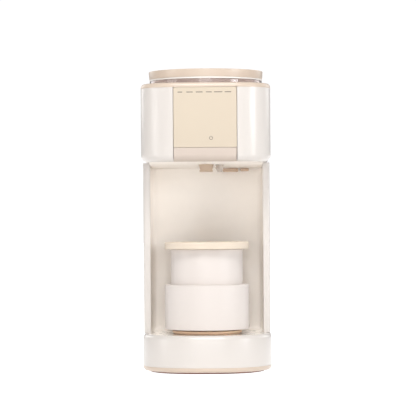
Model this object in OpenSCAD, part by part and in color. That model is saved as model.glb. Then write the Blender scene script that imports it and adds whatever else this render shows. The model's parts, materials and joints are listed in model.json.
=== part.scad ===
// Automatic baby formula dispenser, free standing on a worktop.
// Millimetres. +Z is up, -Y is the front, +X is the right seen from the front.
// The origin is on the worktop, under the middle of the body.

/* [Body] */
// Overall width of the base and the head
body_w = 180; // [178:1:184]
// Overall depth, from the touch panel to the tank handle
body_d = 300; // [298:1:306]
// Height of the underside of the head above the worktop
head_z = 292; // [290:1:296]
// Height of the head's shell, up to the coloured top cover
head_h = 102; // [100:1:104]
// Height of the top cover
top_cover_h = 6.5; // [6:0.5:7]
// Height of the deck that the bottle stand is on
deck_z = 53; // [52:1:54]
// Wall thickness of the outer shells
wall = 3; // [2.5:0.1:3.2]

/* [Bottle stand] */
// Outer radius of the lower sleeve and of the collar ring
sleeve_r = 59; // [58:0.5:60]
// Outer radius of the telescoping cup
cup_r = 50.5; // [50:0.5:51]
// Radius of the hole in the grip liner that the bottle goes through
bottle_hole_r = 36; // [34:0.5:37]
// How far the cup can be pushed down into the sleeve
cup_travel = 48; // [30:1:48]

/* [Powder hopper] */
// Outer radius of the clear hopper
hopper_r = 78.9; // [78:0.1:79]
// Number of teeth around the dosing wheel
wheel_teeth = 40; // [36, 40]
// Number of teeth on the motor pinion
pinion_teeth = 12; // [10, 12]
// Tooth size, as pitch diameter over number of teeth
tooth_module = 1.5; // [1.4:0.1:1.5]

/* [Water tank] */
// Outer width of the water tank
tank_w = 150; // [146:1:150]
// Height of the rim of the water tank above the worktop
tank_rim_z = 385; // [380:1:386]

/* [Hidden] */
$fn = 96;

half_w = body_w / 2;
front_y = -body_d / 2;
back_y = body_d / 2;

// Base
foot_h = 2.5;
foot_r = 9;
skirt_z0 = 2.6;
skirt_z1 = 9;
base_front_r = 76;
base_back_r = 30;
base_edge_r = 6;
cover_z0 = 0.5;
cover_z1 = 6;
cover_inset = 9.5;
skirt_band = 9;
deck_t = 2.5;
deck_inset = 6;
foot_places = [[-54, -110], [54, -110], [-62, 118], [62, 118]];
base_screw_places = [[-62, -94], [62, -94], [-70, 96], [70, 96]];
screw_r = 1.5;
screw_head_r = 3.2;
screw_seat_z = 3.4;
deck_hole_r = 20;
rim_step = 5;
hose_way = [[-50, 8], [50, 44]];
tank_way = [[-60, 80], [60, 130]];

// Column and niche
column_half = half_w - 1;
column_front_y = front_y + 82;
column_back_y = 60;
strip_w = 10;
niche_half = column_half - strip_w;
niche_back_y = front_y + 143;
liner_t = 2.5;
flange_t = 6;
cove_r = 8;
board_z0 = 215;
board_z1 = 285;
board_gap = 5.4;
board_t = 1.6;
board_y = column_back_y - wall - board_gap - board_t;

// Pump, heater and hoses
pump_x = 48;
pump_y = 26;
pump_z = 98;
pump_r = 15;
pump_h = 18;
motor_h = 40;
axle_r = 2;
port_r = 3.5;
port_bore_r = 2.2;
port_z = 9;
heater_x = -40;
heater_y = pump_y;
heater_z0 = 150;
heater_z1 = 212;
sensor_x = -18;
sensor_r = 2.5;
hose_hole_z = 150;
hose_r = 4;
nozzle_water = [19, -72];
hot_z = head_z + 10;
hot_hose_r = 3.5;

// Rear housing and tank bay
tank_deck_z = 195;
vent_half = 60;
vent_z0 = 70;
vent_z1 = 180;
cover_face_y = back_y - 1.4;
cover_t = 2;
cover_gap = 0.3;
cover_screw_places = [for (x = [-56, 56], z = [vent_z0 + 4, vent_z1 - 4]) [x, z]];
inlet_x = -34;
inlet_z = 92;
inlet_half = [13.4, 9.6];
inlet_depth = 26;
socket_depth = 20;
pin_places = [[-7, -2.5], [0, 2.5], [7, -2.5]];

// Head
head_z1 = head_z + head_h;
head_top = head_z1 + top_cover_h;
head_front_r = 50;
head_back_r = 20;
head_edge_r = 10;
top_edge_r = 5;
panel_half = 43.3;
panel_gap = 0.7;
panel_z0 = head_z + 19.4;
panel_y = front_y + 0.2;
panel_t = 2.5;
under_t = 2.8;
ceiling_drop = 6.6;
nozzle_drop = 13;
chute_r = 11;

// Axis of the stand and the powder nozzle, and axis of the hopper
stand_y = front_y + 73;
hopper_y = front_y + 90;
outlet_off = hopper_y - stand_y;

// Dosing train
wheel_pitch_r = wheel_teeth * tooth_module / 2;
pinion_pitch_r = pinion_teeth * tooth_module / 2;
pinion_y = hopper_y + wheel_pitch_r + pinion_pitch_r;
wheel_z0 = head_z + 22;
wheel_z1 = wheel_z0 + 7.8;
shaft_r = 4;
run_gap = 0.06;

// Hopper
lid_top = head_top + 19.5;
lid_z0 = head_top + 8.5;
seal_z0 = head_top + 6.3;
cup_rim_z = head_top + 6;
hopper_wall = 2;
skirt_r = 34.5;
cone_top_z = head_z + 53;
cone_low_z = head_z + 32.6;
plate_z0 = head_z + 19;
bay_gap = 1;
bay_t = 2;
bay_floor_z = head_z + 16;
bay_floor_t = 2.6;
outlet_r = 6;
pinion_way_r = 11;

// Bottle stand
sleeve_z0 = deck_z + 6.5;
sleeve_z1 = sleeve_z0 + 62.5;
sleeve_floor = 4;
sleeve_bore = sleeve_r - 3;
lip_t = 4;
cup_top = deck_z + 118;
cup_flange_t = 5;
cup_flange_z1 = sleeve_z1 - lip_t - 0.3;
collar_top = deck_z + 128;

// Water tank
tank_half = tank_w / 2;
tank_y0 = 63;
tank_y1 = 138;
tank_z0 = tank_deck_z + 0.6;
tank_wall = 2.5;
tank_mid_y = 105;
seat_r = 16;
seat_low_z = 170;
tank_front_r = 14;
tank_rear_r = 24;
spigot_z = 186;
spigot_r = 11;
valve_bore_r = 8;
tank_hinge_y = 70;
tank_hinge_z = tank_rim_z + 3;
hinge_pin_r = 1.5;
lug_x = 50;
lug_w = 8;
lug_r = 2.6;
knuckle_x = 30;
knuckle_w = 28;
knuckle_r = 2.4;
hinge_pocket_half = 56;
strip_rear_y = 72.8;
lid_plate_z0 = tank_rim_z + 0.4;
lid_plate_z1 = tank_rim_z + 5.5;
lid_front_y = tank_hinge_y + 4.1;
handle_y = 98;
handle_z = tank_rim_z - 7;
handle_peg_r = 4;
handle_t = 3.5;
handle_half_h = 4;

// ---------- shared shapes ----------

// Quarter of a disc, in the first quadrant
module quarter(r) {
    intersection() {
        circle(r);
        square(r);
    }
}

// Half section of a slab's rim: from the middle out to len, with rounded top and bottom edges
module rim_profile(len, z0, z1, top_r, low_r) {
    translate([0, z0 + low_r]) square([len, z1 - z0 - low_r - top_r]);
    if (top_r > 0) {
        translate([0, z1 - top_r]) square([len - top_r, top_r]);
        translate([len - top_r, z1 - top_r]) quarter(top_r);
    }
    if (low_r > 0) {
        translate([0, z0]) square([len - low_r, low_r]);
        translate([len - low_r, z0 + low_r]) mirror([0, 1]) quarter(low_r);
    }
}

// Upright slab between y0 and y1 with its own front and back corner radii
module slab(half, y0, y1, front_r, rear_r, z0, z1, top_r = 0, low_r = 0) {
    translate([0, y1 - rear_r, 0]) rotate([90, 0, 0]) linear_extrude(y1 - rear_r - y0 - front_r) {
        rim_profile(half, z0, z1, top_r, low_r);
        mirror([1, 0]) rim_profile(half, z0, z1, top_r, low_r);
    }
    front_len = 2 * (half - front_r);
    translate([front_len / 2, y0 + front_r, 0]) rotate([90, 0, -90])
        linear_extrude(front_len) rim_profile(front_r, z0, z1, top_r, low_r);
    rear_len = 2 * (half - rear_r);
    translate([-rear_len / 2, y1 - rear_r, 0]) rotate([90, 0, 90])
        linear_extrude(rear_len) rim_profile(rear_r, z0, z1, top_r, low_r);
    for (side = [-1, 1]) {
        translate([side * (half - front_r), y0 + front_r, 0])
            rotate_extrude(angle = 90, start = side < 0 ? 180 : 270)
                rim_profile(front_r, z0, z1, top_r, low_r);
        translate([side * (half - rear_r), y1 - rear_r, 0])
            rotate_extrude(angle = 90, start = side < 0 ? 90 : 0)
                rim_profile(rear_r, z0, z1, top_r, low_r);
    }
}

// Box between two corners
module box(low, high) {
    translate(low) cube(high - low);
}

// Ring on the z axis with rounded outer edges
module ring(inner_r, outer_r, z0, z1, edge = 0) {
    rotate_extrude() difference() {
        rim_profile(outer_r, z0, z1, edge, edge);
        translate([-1, z0 - 1]) square([inner_r + 1, z1 - z0 + 2]);
    }
}

// Hose along straight legs, with a ball at every bend
module hose(points, r) {
    for (i = [0 : len(points) - 2]) {
        leg = points[i + 1] - points[i];
        length = norm(leg);
        turn = atan2(leg[1], leg[0]);
        tilt = acos(leg[2] / length);
        translate(points[i]) rotate([0, tilt, turn]) cylinder(r = r, h = length);
        if (i > 0) translate(points[i]) sphere(r);
    }
}

// Outline of a spur gear, with a tooth centred on the +x axis turned by phase
module gear_outline(teeth, phase) {
    pitch_r = teeth * tooth_module / 2;
    tip_r = pitch_r + 0.75 * tooth_module;
    root_r = pitch_r - 1.0 * tooth_module;
    step = 360 / teeth;
    root_part = 0.29;
    tip_part = 0.11;
    polygon([
        for (i = [0 : teeth - 1])
            for (corner = [[-root_part, root_r], [-tip_part, tip_r], [tip_part, tip_r],
                           [root_part, root_r]])
                let (a = phase + step * (i + corner[0]))
                    corner[1] * [cos(a), sin(a)]
    ]);
}

// ---------- base ----------

module base_shell() {
    recess_gap = 0.2;
    boss_r = 5;
    color([0.95, 0.93, 0.9]) {
        difference() {
            slab(half_w, front_y, back_y, base_front_r, base_back_r,
                 skirt_z1, deck_z, base_edge_r);
            slab(half_w - wall, front_y + wall, back_y - wall, base_front_r - wall,
                 base_back_r - wall, skirt_z1 - 1, deck_z - rim_step);
            slab(half_w - deck_inset, front_y + deck_inset, niche_back_y + 4.8 + recess_gap,
                 base_front_r - deck_inset, 4, deck_z - deck_t - 0.1, deck_z + 1);
            for (way = [hose_way, tank_way])
                box([each way[0], deck_z - 10], [each way[1], deck_z + 1]);
        }
        for (p = base_screw_places) translate([p[0], p[1], cover_z1 + 0.1]) difference() {
            cylinder(r = boss_r, h = deck_z - rim_step + 0.4 - cover_z1);
            translate([0, 0, -1]) cylinder(r = screw_r + 0.1, h = 20);
        }
    }
}

module base_skirt() {
    inner_band = 14;
    color([0.94, 0.8, 0.7]) difference() {
        slab(half_w, front_y, back_y, base_front_r, base_back_r, skirt_z0, skirt_z1, 0, 4);
        slab(half_w - skirt_band, front_y + skirt_band, back_y - skirt_band,
             base_front_r - skirt_band, base_back_r - skirt_band, 0, cover_z1);
        slab(half_w - inner_band, front_y + inner_band, back_y - inner_band,
             base_front_r - inner_band, base_back_r - inner_band, 1, skirt_z1 + 1);
    }
}

module bottom_cover() {
    color([0.45, 0.36, 0.3]) difference() {
        slab(half_w - cover_inset, front_y + cover_inset, back_y - cover_inset,
             base_front_r - cover_inset, base_back_r - cover_inset, cover_z0, cover_z1);
        for (p = foot_places)
            translate([p[0], p[1], 0]) cylinder(r = foot_r + 0.1, h = foot_h + 0.1);
        for (p = base_screw_places) translate([p[0], p[1], 0]) {
            cylinder(r = screw_r + 0.3, h = 10);
            cylinder(r = screw_head_r + 0.4, h = screw_seat_z);
        }
    }
}

module rubber_feet() {
    color([0.25, 0.22, 0.2])
        for (p = foot_places) translate([p[0], p[1], 0]) ring(0, foot_r, 0, foot_h, 0.6);
}

module base_screws() {
    head_h = 1.7;
    color([0.7, 0.7, 0.7]) for (p = base_screw_places) translate([p[0], p[1], screw_seat_z]) {
        translate([0, 0, -head_h]) cylinder(r = screw_head_r, h = head_h);
        translate([0, 0, -0.4]) cylinder(r = screw_r, h = 13);
    }
}

module deck_plate() {
    color([0.94, 0.88, 0.8]) difference() {
        slab(half_w - deck_inset - 0.2, front_y + deck_inset + 0.2, niche_back_y + 4.8,
             base_front_r - deck_inset - 0.2, 3.8, deck_z - deck_t, deck_z);
        translate([0, stand_y, deck_z - 10]) cylinder(r = deck_hole_r, h = 20);
    }
}

// ---------- column ----------

module column_shell() {
    standoff_r = 3;
    color([0.95, 0.93, 0.9]) {
        difference() {
            slab(column_half, column_front_y, column_back_y, 4, 2, deck_z, head_z);
            box([-column_half + wall, column_front_y + flange_t, deck_z - 1],
                [column_half - wall, column_back_y - wall, head_z + 1]);
            box([-niche_half, column_front_y - 1, deck_z - 1],
                [niche_half, column_front_y + 10, head_z + 1]);
            translate([0, column_back_y + 1, hose_hole_z]) rotate([90, 0, 0])
                cylinder(r = hose_r + 2, h = 8);
        }
        // flange that closes the top outside the niche
        difference() {
            box([-column_half + 1, column_front_y + flange_t - 1, head_z - wall],
                [column_half - 1, column_back_y - 1, head_z]);
            box([-niche_half - liner_t - 0.1, column_front_y - 1, head_z - 10],
                [niche_half + liner_t + 0.1, column_back_y - 10, head_z + 1]);
        }
        // stand-offs for the power board
        for (x = [-38, 38], z = [board_z0 + 7, board_z1 - 7])
            translate([x, column_back_y - wall + 0.5, z]) rotate([90, 0, 0])
                cylinder(r = standoff_r, h = board_gap + 0.5);
    }
}

// Hollow fillet between the niche's back wall and its floor
module floor_cove() {
    translate([niche_half, niche_back_y, deck_z]) rotate([90, 0, -90])
        linear_extrude(2 * niche_half) difference() {
            square(cove_r);
            translate([cove_r, cove_r]) circle(cove_r);
        }
}

module niche_liner() {
    color([0.93, 0.87, 0.79]) {
        difference() {
            box([-niche_half - liner_t, column_front_y + flange_t, deck_z],
                [niche_half + liner_t, niche_back_y + liner_t, head_z]);
            slab(niche_half, column_front_y, niche_back_y, 0.5, cove_r, deck_z - 1, head_z + 1);
        }
        floor_cove();
    }
}

module rear_housing() {
    frame_w = 4;
    lip = 8;
    color([0.95, 0.93, 0.9]) difference() {
        union() {
            difference() {
                slab(column_half, column_back_y, back_y, 1, base_back_r, deck_z, tank_deck_z, 2);
                slab(column_half - wall, column_back_y - 5, back_y - wall, 1, base_back_r - wall,
                     deck_z - 1, tank_deck_z - wall);
            }
            // frame that the back cover is screwed to
            box([-vent_half - frame_w, cover_face_y - 5, vent_z0 - frame_w],
                [vent_half + frame_w, back_y - wall + 0.5, vent_z1 + frame_w]);
        }
        box([-vent_half - cover_gap, cover_face_y - cover_t, vent_z0 - cover_gap],
            [vent_half + cover_gap, back_y + 1, vent_z1 + cover_gap]);
        box([-vent_half + lip, back_y - 20, vent_z0 + lip],
            [vent_half - lip, back_y + 1, vent_z1 - lip]);
        for (p = cover_screw_places) translate([p[0], back_y + 1, p[1]]) rotate([90, 0, 0])
            cylinder(r = screw_r + 0.1, h = 20);
        translate([0, tank_mid_y, tank_deck_z - 10]) cylinder(r = seat_r + 0.1, h = 20);
    }
}

module back_cover() {
    slot_l = 34;
    slot_h = 2.4;
    slot_x = 24;
    slot_step = 6;
    slot_rows = 8;
    color([0.93, 0.9, 0.86]) difference() {
        box([-vent_half, cover_face_y - cover_t, vent_z0], [vent_half, cover_face_y, vent_z1]);
        for (row = [0 : slot_rows - 1], side = [-1, 1])
            translate([side * slot_x - slot_l / 2, cover_face_y - 5, vent_z1 - 18 - row * slot_step])
                cube([slot_l, 10, slot_h]);
        box([inlet_x - inlet_half[0] - 0.2, cover_face_y - 5, inlet_z - inlet_half[1] - 0.2],
            [inlet_x + inlet_half[0] + 0.2, back_y + 1, inlet_z + inlet_half[1] + 0.2]);
        for (p = cover_screw_places) translate([p[0], back_y + 1, p[1]]) rotate([90, 0, 0])
            cylinder(r = screw_r + 0.2, h = 20);
    }
}

module cover_screws() {
    head_h = 1.3;
    color([0.7, 0.7, 0.7]) for (p = cover_screw_places)
        translate([p[0], cover_face_y, p[1]]) rotate([90, 0, 0]) {
            cylinder(r = screw_r, h = 9);
            translate([0, 0, -head_h]) cylinder(r = screw_head_r, h = head_h);
        }
}

// Mains inlet: an open socket with a flange that lies on the back cover
module power_inlet() {
    flange = [15.5, 11.8];
    socket = [12, 8.2];
    color([0.15, 0.15, 0.15]) difference() {
        union() {
            box([inlet_x - inlet_half[0], back_y - inlet_depth, inlet_z - inlet_half[1]],
                [inlet_x + inlet_half[0], back_y - 0.2, inlet_z + inlet_half[1]]);
            box([inlet_x - flange[0], cover_face_y, inlet_z - flange[1]],
                [inlet_x + flange[0], back_y - 0.1, inlet_z + flange[1]]);
        }
        box([inlet_x - socket[0], back_y - socket_depth, inlet_z - socket[1]],
            [inlet_x + socket[0], back_y + 1, inlet_z + socket[1]]);
    }
}

module inlet_pins() {
    pin = [2, 17, 4];
    color([0.8, 0.68, 0.4]) for (p = pin_places)
        translate([inlet_x + p[0] - pin[0] / 2, back_y - socket_depth - 4, inlet_z + p[1] - pin[2] / 2])
            cube(pin);
}

// ---------- electronics and water circuit ----------

module power_board() {
    color([0.1, 0.4, 0.2]) box([-45, board_y, board_z0], [45, board_y + board_t, board_z1]);
}

module board_parts() {
    capacitor_r = 6;
    capacitor_h = 14;
    color([0.25, 0.25, 0.28]) {
        // transformer, relay and heat sink stand on the board, beside three capacitors
        box([-40, board_y - 16, board_z0 + 7], [-14, board_y, board_z0 + 31]);
        box([-6, board_y - 10, board_z0 + 7], [12, board_y, board_z0 + 21]);
        box([24, board_y - 12, board_z0 + 11], [40, board_y, board_z0 + 31]);
        for (x = [-30, -14, 22]) translate([x, board_y, board_z1 - 19]) rotate([90, 0, 0])
            cylinder(r = capacitor_r, h = capacitor_h);
    }
}

module pump_motor() {
    motor_r = 13;
    color([0.75, 0.75, 0.77]) translate([pump_x, pump_y, pump_z]) difference() {
        translate([0, 0, -motor_h]) cylinder(r = motor_r, h = motor_h);
        translate([0, 0, -5]) cylinder(r = axle_r + run_gap, h = 10);
    }
}

module pump_body() {
    shell_t = 3;
    color([0.88, 0.88, 0.86]) translate([pump_x, pump_y, pump_z]) difference() {
        union() {
            cylinder(r = pump_r, h = pump_h);
            cylinder(r = port_r, h = pump_h + 8);
            translate([0, 0, port_z]) rotate([0, -90, 0]) cylinder(r = port_r, h = pump_r + 4);
        }
        translate([0, 0, shell_t]) cylinder(r = pump_r - 2.5, h = pump_h - 2 * shell_t);
        translate([0, 0, -1]) cylinder(r = axle_r + run_gap, h = 6);
        translate([0, 0, 10]) cylinder(r = port_bore_r, h = 30);
        translate([0, 0, port_z]) rotate([0, -90, 0]) cylinder(r = port_bore_r, h = 30);
    }
}

module pump_impeller() {
    blades = 6;
    hub_r = 5;
    blade = [8.5, 1.6, 7];
    color([0.3, 0.3, 0.32]) translate([pump_x, pump_y, pump_z]) {
        translate([0, 0, -4]) cylinder(r = axle_r, h = 12);
        translate([0, 0, 4]) cylinder(r = hub_r, h = 5);
        for (i = [0 : blades - 1]) rotate([0, 0, i * 360 / blades])
            translate([hub_r - 2, -blade[1] / 2, 4]) cube(blade);
    }
}

module heater_block() {
    color([0.78, 0.78, 0.8]) difference() {
        union() {
            box([-70, heater_y - 11, heater_z0], [-10, heater_y + 11, heater_z1]);
            translate([heater_x, heater_y, heater_z0 - 6]) cylinder(r = port_r, h = 8);
            translate([heater_x, heater_y, heater_z1 - 2]) cylinder(r = port_r, h = 10);
        }
        translate([heater_x, heater_y, heater_z0 - 10])
            cylinder(r = port_bore_r, h = heater_z1 - heater_z0 + 28);
        translate([sensor_x, heater_y, heater_z1 - 8]) cylinder(r = sensor_r + 0.05, h = 20);
    }
}

module heat_sensor() {
    color([0.8, 0.68, 0.4]) translate([sensor_x, heater_y, heater_z1 - 7.9]) {
        cylinder(r = sensor_r, h = 9);
        translate([0, 0, 7.9]) cylinder(r = 4, h = 4, $fn = 6);
    }
}

module cold_hose() {
    across_y = 42;
    color([0.85, 0.85, 0.85, 0.8]) hose([[0, tank_mid_y, seat_low_z], [0, tank_mid_y, hose_hole_z],
        [0, across_y, hose_hole_z], [pump_x, across_y, hose_hole_z],
        [pump_x, pump_y, hose_hole_z], [pump_x, pump_y, pump_z + pump_h + 8]], hose_r);
}

module pump_hose() {
    color([0.85, 0.85, 0.85, 0.8]) hose([[pump_x - pump_r - 4, pump_y, pump_z + port_z],
        [heater_x, pump_y, pump_z + port_z], [heater_x, pump_y, heater_z0 - 6]], hose_r);
}

module hot_hose() {
    along_x = 36;
    color([0.9, 0.55, 0.45, 0.8]) hose([[heater_x, heater_y, heater_z1 + 8],
        [heater_x, heater_y, hot_z], [along_x, heater_y, hot_z], [along_x, nozzle_water[1], hot_z],
        [nozzle_water[0], nozzle_water[1], hot_z], [nozzle_water[0], nozzle_water[1], head_z + 6]],
        hot_hose_r);
}

module hose_clips() {
    clip_t = 1.4;
    clip_w = 4;
    color([0.7, 0.7, 0.72]) {
        translate([pump_x, pump_y, pump_z + 29]) ring(hose_r, hose_r + clip_t, 0, clip_w);
        translate([pump_x - 26, pump_y, pump_z + port_z]) rotate([0, 90, 0])
            ring(hose_r, hose_r + clip_t, 0, clip_w);
        translate([heater_x, heater_y, heater_z0 - 13]) ring(hose_r, hose_r + clip_t, 0, clip_w);
        translate([heater_x, heater_y, heater_z1 + 12])
            ring(hot_hose_r, hot_hose_r + clip_t, 0, clip_w);
        translate([0, tank_mid_y, seat_low_z - 8]) ring(hose_r, hose_r + clip_t, 0, clip_w);
    }
}

// Socket that the tank's spigot drops into
module tank_seat() {
    bore_r = 11.6;
    groove_r = 13.1;
    color([0.9, 0.88, 0.85]) translate([0, tank_mid_y, 0]) {
        rotate_extrude() polygon([
            [2, seat_low_z], [hose_r, seat_low_z], [hose_r, 177], [seat_r, 177],
            [seat_r, tank_deck_z + 0.3], [bore_r, tank_deck_z + 0.3], [bore_r, 192.2],
            [groove_r, 192.2], [groove_r, 189.8], [bore_r, 189.8], [bore_r, 180], [2, 180]
        ]);
        // pin that opens the tank's valve, on a bridge over the outlet
        translate([0, 0, 178]) cylinder(r = 1.5, h = 8.8);
        box([-5, -1, 178], [5, 1, 181]);
    }
}

module seat_seal() {
    color([0.85, 0.35, 0.25]) translate([0, tank_mid_y, 191])
        rotate_extrude() translate([12.25, 0]) circle(0.85);
}

// ---------- head ----------

module head_shell() {
    color([0.95, 0.93, 0.9]) difference() {
        slab(half_w, front_y, column_back_y, head_front_r, head_back_r, head_z, head_z1, 0,
             head_edge_r);
        slab(half_w - wall, front_y + wall, column_back_y - wall, head_front_r - wall,
             head_back_r - wall, head_z + wall, head_z1 + 1, 0, head_edge_r - wall);
        slab(half_w - head_edge_r - 0.5, front_y + head_edge_r + 0.5, column_back_y - 10, 39.5, 5,
             head_z - 1, head_z + 5);
        // opening for the panel and the strip below it
        box([-panel_half - panel_gap, front_y - 1, head_z - 1],
            [panel_half + panel_gap, front_y + head_edge_r + 0.6, panel_z0]);
        box([-panel_half - panel_gap, front_y - 1, panel_z0 - 1],
            [panel_half + panel_gap, front_y + wall + 0.1, head_z1 + 1]);
    }
}

module top_cover() {
    color([0.95, 0.82, 0.73]) difference() {
        slab(half_w, front_y, column_back_y, head_front_r, head_back_r, head_z1, head_top,
             top_edge_r);
        slab(half_w - 6, front_y + 6, column_back_y - 6, head_front_r - 6, head_back_r - 6,
             head_z1 - 1, head_z1 + 3.5);
        translate([0, hopper_y, head_z1 - 1]) cylinder(r = hopper_r + 0.7, h = 20);
    }
}

// Strip under the panel, rolled under the head, and the plate that the panel is stuck to
module panel_carrier() {
    strip_wall = 3;
    shift = 0.5;
    color([0.96, 0.94, 0.92]) {
        translate([panel_half - shift, 0, 0]) rotate([90, 0, -90])
            linear_extrude(2 * panel_half - shift) {
                // drawn with x towards the front and y up
                difference() {
                    translate([-front_y - head_edge_r, head_z + head_edge_r])
                        mirror([0, 1]) quarter(head_edge_r);
                    translate([-front_y - head_edge_r, head_z + head_edge_r])
                        circle(head_edge_r - strip_wall);
                }
                translate([-front_y - strip_wall, head_z + head_edge_r])
                    square([strip_wall, panel_z0 - 0.5 - head_z - head_edge_r]);
            }
        box([-panel_half, panel_y + panel_t, head_z + head_edge_r],
            [panel_half, panel_y + panel_t + 2, head_z1 - 0.5]);
    }
}

// Left end and length of each dash over the touch keys
key_marks = [[-37.5, 6.5], [-25.5, 9], [-12.5, 9.5], [1.5, 8], [12.5, 11.5], [27, 9]];
mark_z = head_z1 - 7;
power_x = 8;
power_z = panel_z0 + 12.6;

module icon_marks(depth) {
    for (mark = key_marks)
        box([mark[0], panel_y - 0.1, mark_z - 0.6], [mark[0] + mark[1], panel_y + depth, mark_z + 0.6]);
    translate([power_x, panel_y + depth, power_z]) rotate([90, 0, 0]) difference() {
        cylinder(r = 2.6, h = depth + 0.1);
        translate([0, 0, -1]) cylinder(r = 1.8, h = depth + 2);
    }
}

module touch_panel() {
    color([0.94, 0.89, 0.79]) difference() {
        box([-panel_half, panel_y, panel_z0], [panel_half, panel_y + panel_t, head_z1 - 0.3]);
        icon_marks(0.3);
    }
}

module panel_icons() {
    color([0.5, 0.47, 0.43]) icon_marks(0.3);
}

module control_board() {
    color([0.1, 0.4, 0.2])
        box([-38, panel_y + panel_t + 2, head_z + 30], [38, panel_y + panel_t + 3.6, head_z1 - 6]);
}

// Plate under the head, with the niche's ceiling that slopes down to the back wall
module underside_cover() {
    boss_r = 13;
    slope_front_y = front_y + 18;
    color([0.93, 0.87, 0.79]) difference() {
        union() {
            slab(half_w - head_edge_r - 0.8, front_y + head_edge_r + 0.8, niche_back_y + 2.4,
                 39.2, 2, head_z, head_z + under_t);
            translate([0, stand_y, head_z]) cylinder(r = boss_r, h = 8);
            intersection() {
                slab(niche_half - 0.2, front_y + head_edge_r + 1.2, niche_back_y - 0.2, 38.8,
                     cove_r - 0.2, head_z - 2 * ceiling_drop, head_z + 1);
                translate([-niche_half, 0, 0]) rotate([90, 0, 90]) linear_extrude(2 * niche_half)
                    polygon([[slope_front_y, head_z], [niche_back_y, head_z - ceiling_drop],
                             [niche_back_y, head_z + 1], [slope_front_y, head_z + 1]]);
            }
        }
        translate([0, stand_y, head_z - 10]) cylinder(r = chute_r + 0.2, h = 30);
        translate([nozzle_water[0], nozzle_water[1], head_z - 10]) {
            cylinder(r = 5, h = 20);
            cylinder(r = 7, h = 10);
        }
    }
}

module powder_nozzle() {
    color([0.93, 0.88, 0.8]) translate([0, stand_y, head_z]) rotate_extrude() polygon([
        [5.8, -nozzle_drop], [9.4, -nozzle_drop], [9.4, 2 - nozzle_drop], [8.7, 2.6 - nozzle_drop],
        [chute_r - 0.1, -0.5], [chute_r, 0], [chute_r, 12], [9.4, 12], [6.2, 2]
    ]);
}

module water_nozzle() {
    stem_r = 4.9;
    bore_r = 1.6;
    color([0.9, 0.9, 0.88, 0.7]) translate([nozzle_water[0], nozzle_water[1], head_z])
        rotate_extrude() polygon([
            [bore_r, -nozzle_drop], [3, -nozzle_drop], [6.6, -0.3], [stem_r, -0.3],
            [stem_r, under_t], [6.4, under_t], [6.4, under_t + 1.4], [3.4, under_t + 1.4],
            [3.4, 6], [bore_r, 6]
        ]);
}

// Pod on the niche's back wall, with the window of the bottle sensor
module sensor_window() {
    pod_top = head_z - ceiling_drop - 0.2;
    color([0.75, 0.64, 0.53]) {
        box([23, niche_back_y - 9, pod_top - 5.4], [45, niche_back_y - 0.1, pod_top]);
        box([48, niche_back_y - 9, pod_top - 4.4], [60, niche_back_y - 0.1, pod_top]);
    }
}

// Bowl inside the head that the hopper drops into
module hopper_bay() {
    bay_r = hopper_r + bay_gap;
    bowl_r = skirt_r + 0.6;
    color([0.9, 0.88, 0.85]) difference() {
        translate([0, hopper_y, 0]) rotate_extrude() polygon([
            [bowl_r, bay_floor_z], [bowl_r + bay_t, bay_floor_z],
            [bowl_r + bay_t, cone_low_z - 3.2], [bay_r + bay_t, cone_top_z - 3.2],
            [bay_r + bay_t, head_z1 + 3.3], [bay_r, head_z1 + 3.3],
            [bay_r, cone_top_z - 1.4], [bowl_r, cone_low_z - 1.4]
        ]);
        // window for the pinion
        translate([0, pinion_y, bay_floor_z - 1]) cylinder(r = pinion_way_r + 0.4, h = 18.6);
    }
}

// Floor of the bowl, with the way for the powder
module bay_floor() {
    color([0.88, 0.86, 0.83]) difference() {
        translate([0, hopper_y, bay_floor_z]) cylinder(r = skirt_r + 0.55, h = bay_floor_t);
        translate([0, stand_y, bay_floor_z - 1]) cylinder(r = outlet_r + 1.5, h = 10);
        translate([0, pinion_y, bay_floor_z - 1]) cylinder(r = pinion_way_r + 0.4, h = 10);
    }
}

module dosing_motor() {
    motor_r = 12;
    color([0.75, 0.75, 0.77]) translate([0, pinion_y, 0]) difference() {
        translate([0, 0, head_z + 3]) cylinder(r = motor_r, h = 10.5);
        translate([0, 0, head_z + 8]) cylinder(r = axle_r + run_gap, h = 10);
    }
}

module motor_pinion() {
    color([0.9, 0.9, 0.88]) translate([0, pinion_y, 0]) {
        translate([0, 0, head_z + 8.5]) cylinder(r = axle_r, h = 16);
        translate([0, 0, wheel_z0 + 0.3]) linear_extrude(wheel_z1 - wheel_z0 - 0.6)
            gear_outline(pinion_teeth, 270 + 180 / pinion_teeth);
    }
}

// ---------- hopper ----------

module hopper_cup() {
    wall_in = hopper_r - hopper_wall;
    color([0.9, 0.88, 0.88, 0.45]) difference() {
        translate([0, hopper_y, 0]) rotate_extrude() polygon([
            [skirt_r - 2.5, plate_z0], [skirt_r, plate_z0], [skirt_r, cone_low_z],
            [hopper_r, cone_top_z], [hopper_r, cup_rim_z], [wall_in, cup_rim_z],
            [wall_in, cone_top_z + 1.2], [skirt_r - 2.5, cone_low_z + 1]
        ]);
        // slot that clears the pinion when the hopper is lifted out
        translate([0, pinion_y, plate_z0 - 1])
            cylinder(r = pinion_way_r, h = wheel_z1 + 0.8 - plate_z0 + 1);
    }
}

module hopper_floor() {
    color([0.9, 0.88, 0.85]) difference() {
        translate([0, hopper_y, wheel_z1 + 0.3]) cylinder(r = skirt_r - 2.6, h = 2.8);
        translate([0, hopper_y, wheel_z1]) cylinder(r = shaft_r + run_gap, h = 10);
        for (a = [30, 90, 150]) translate([0, hopper_y, wheel_z1]) rotate([0, 0, a])
            translate([outlet_off, 0, 0]) cylinder(r = outlet_r, h = 10);
    }
}

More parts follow.
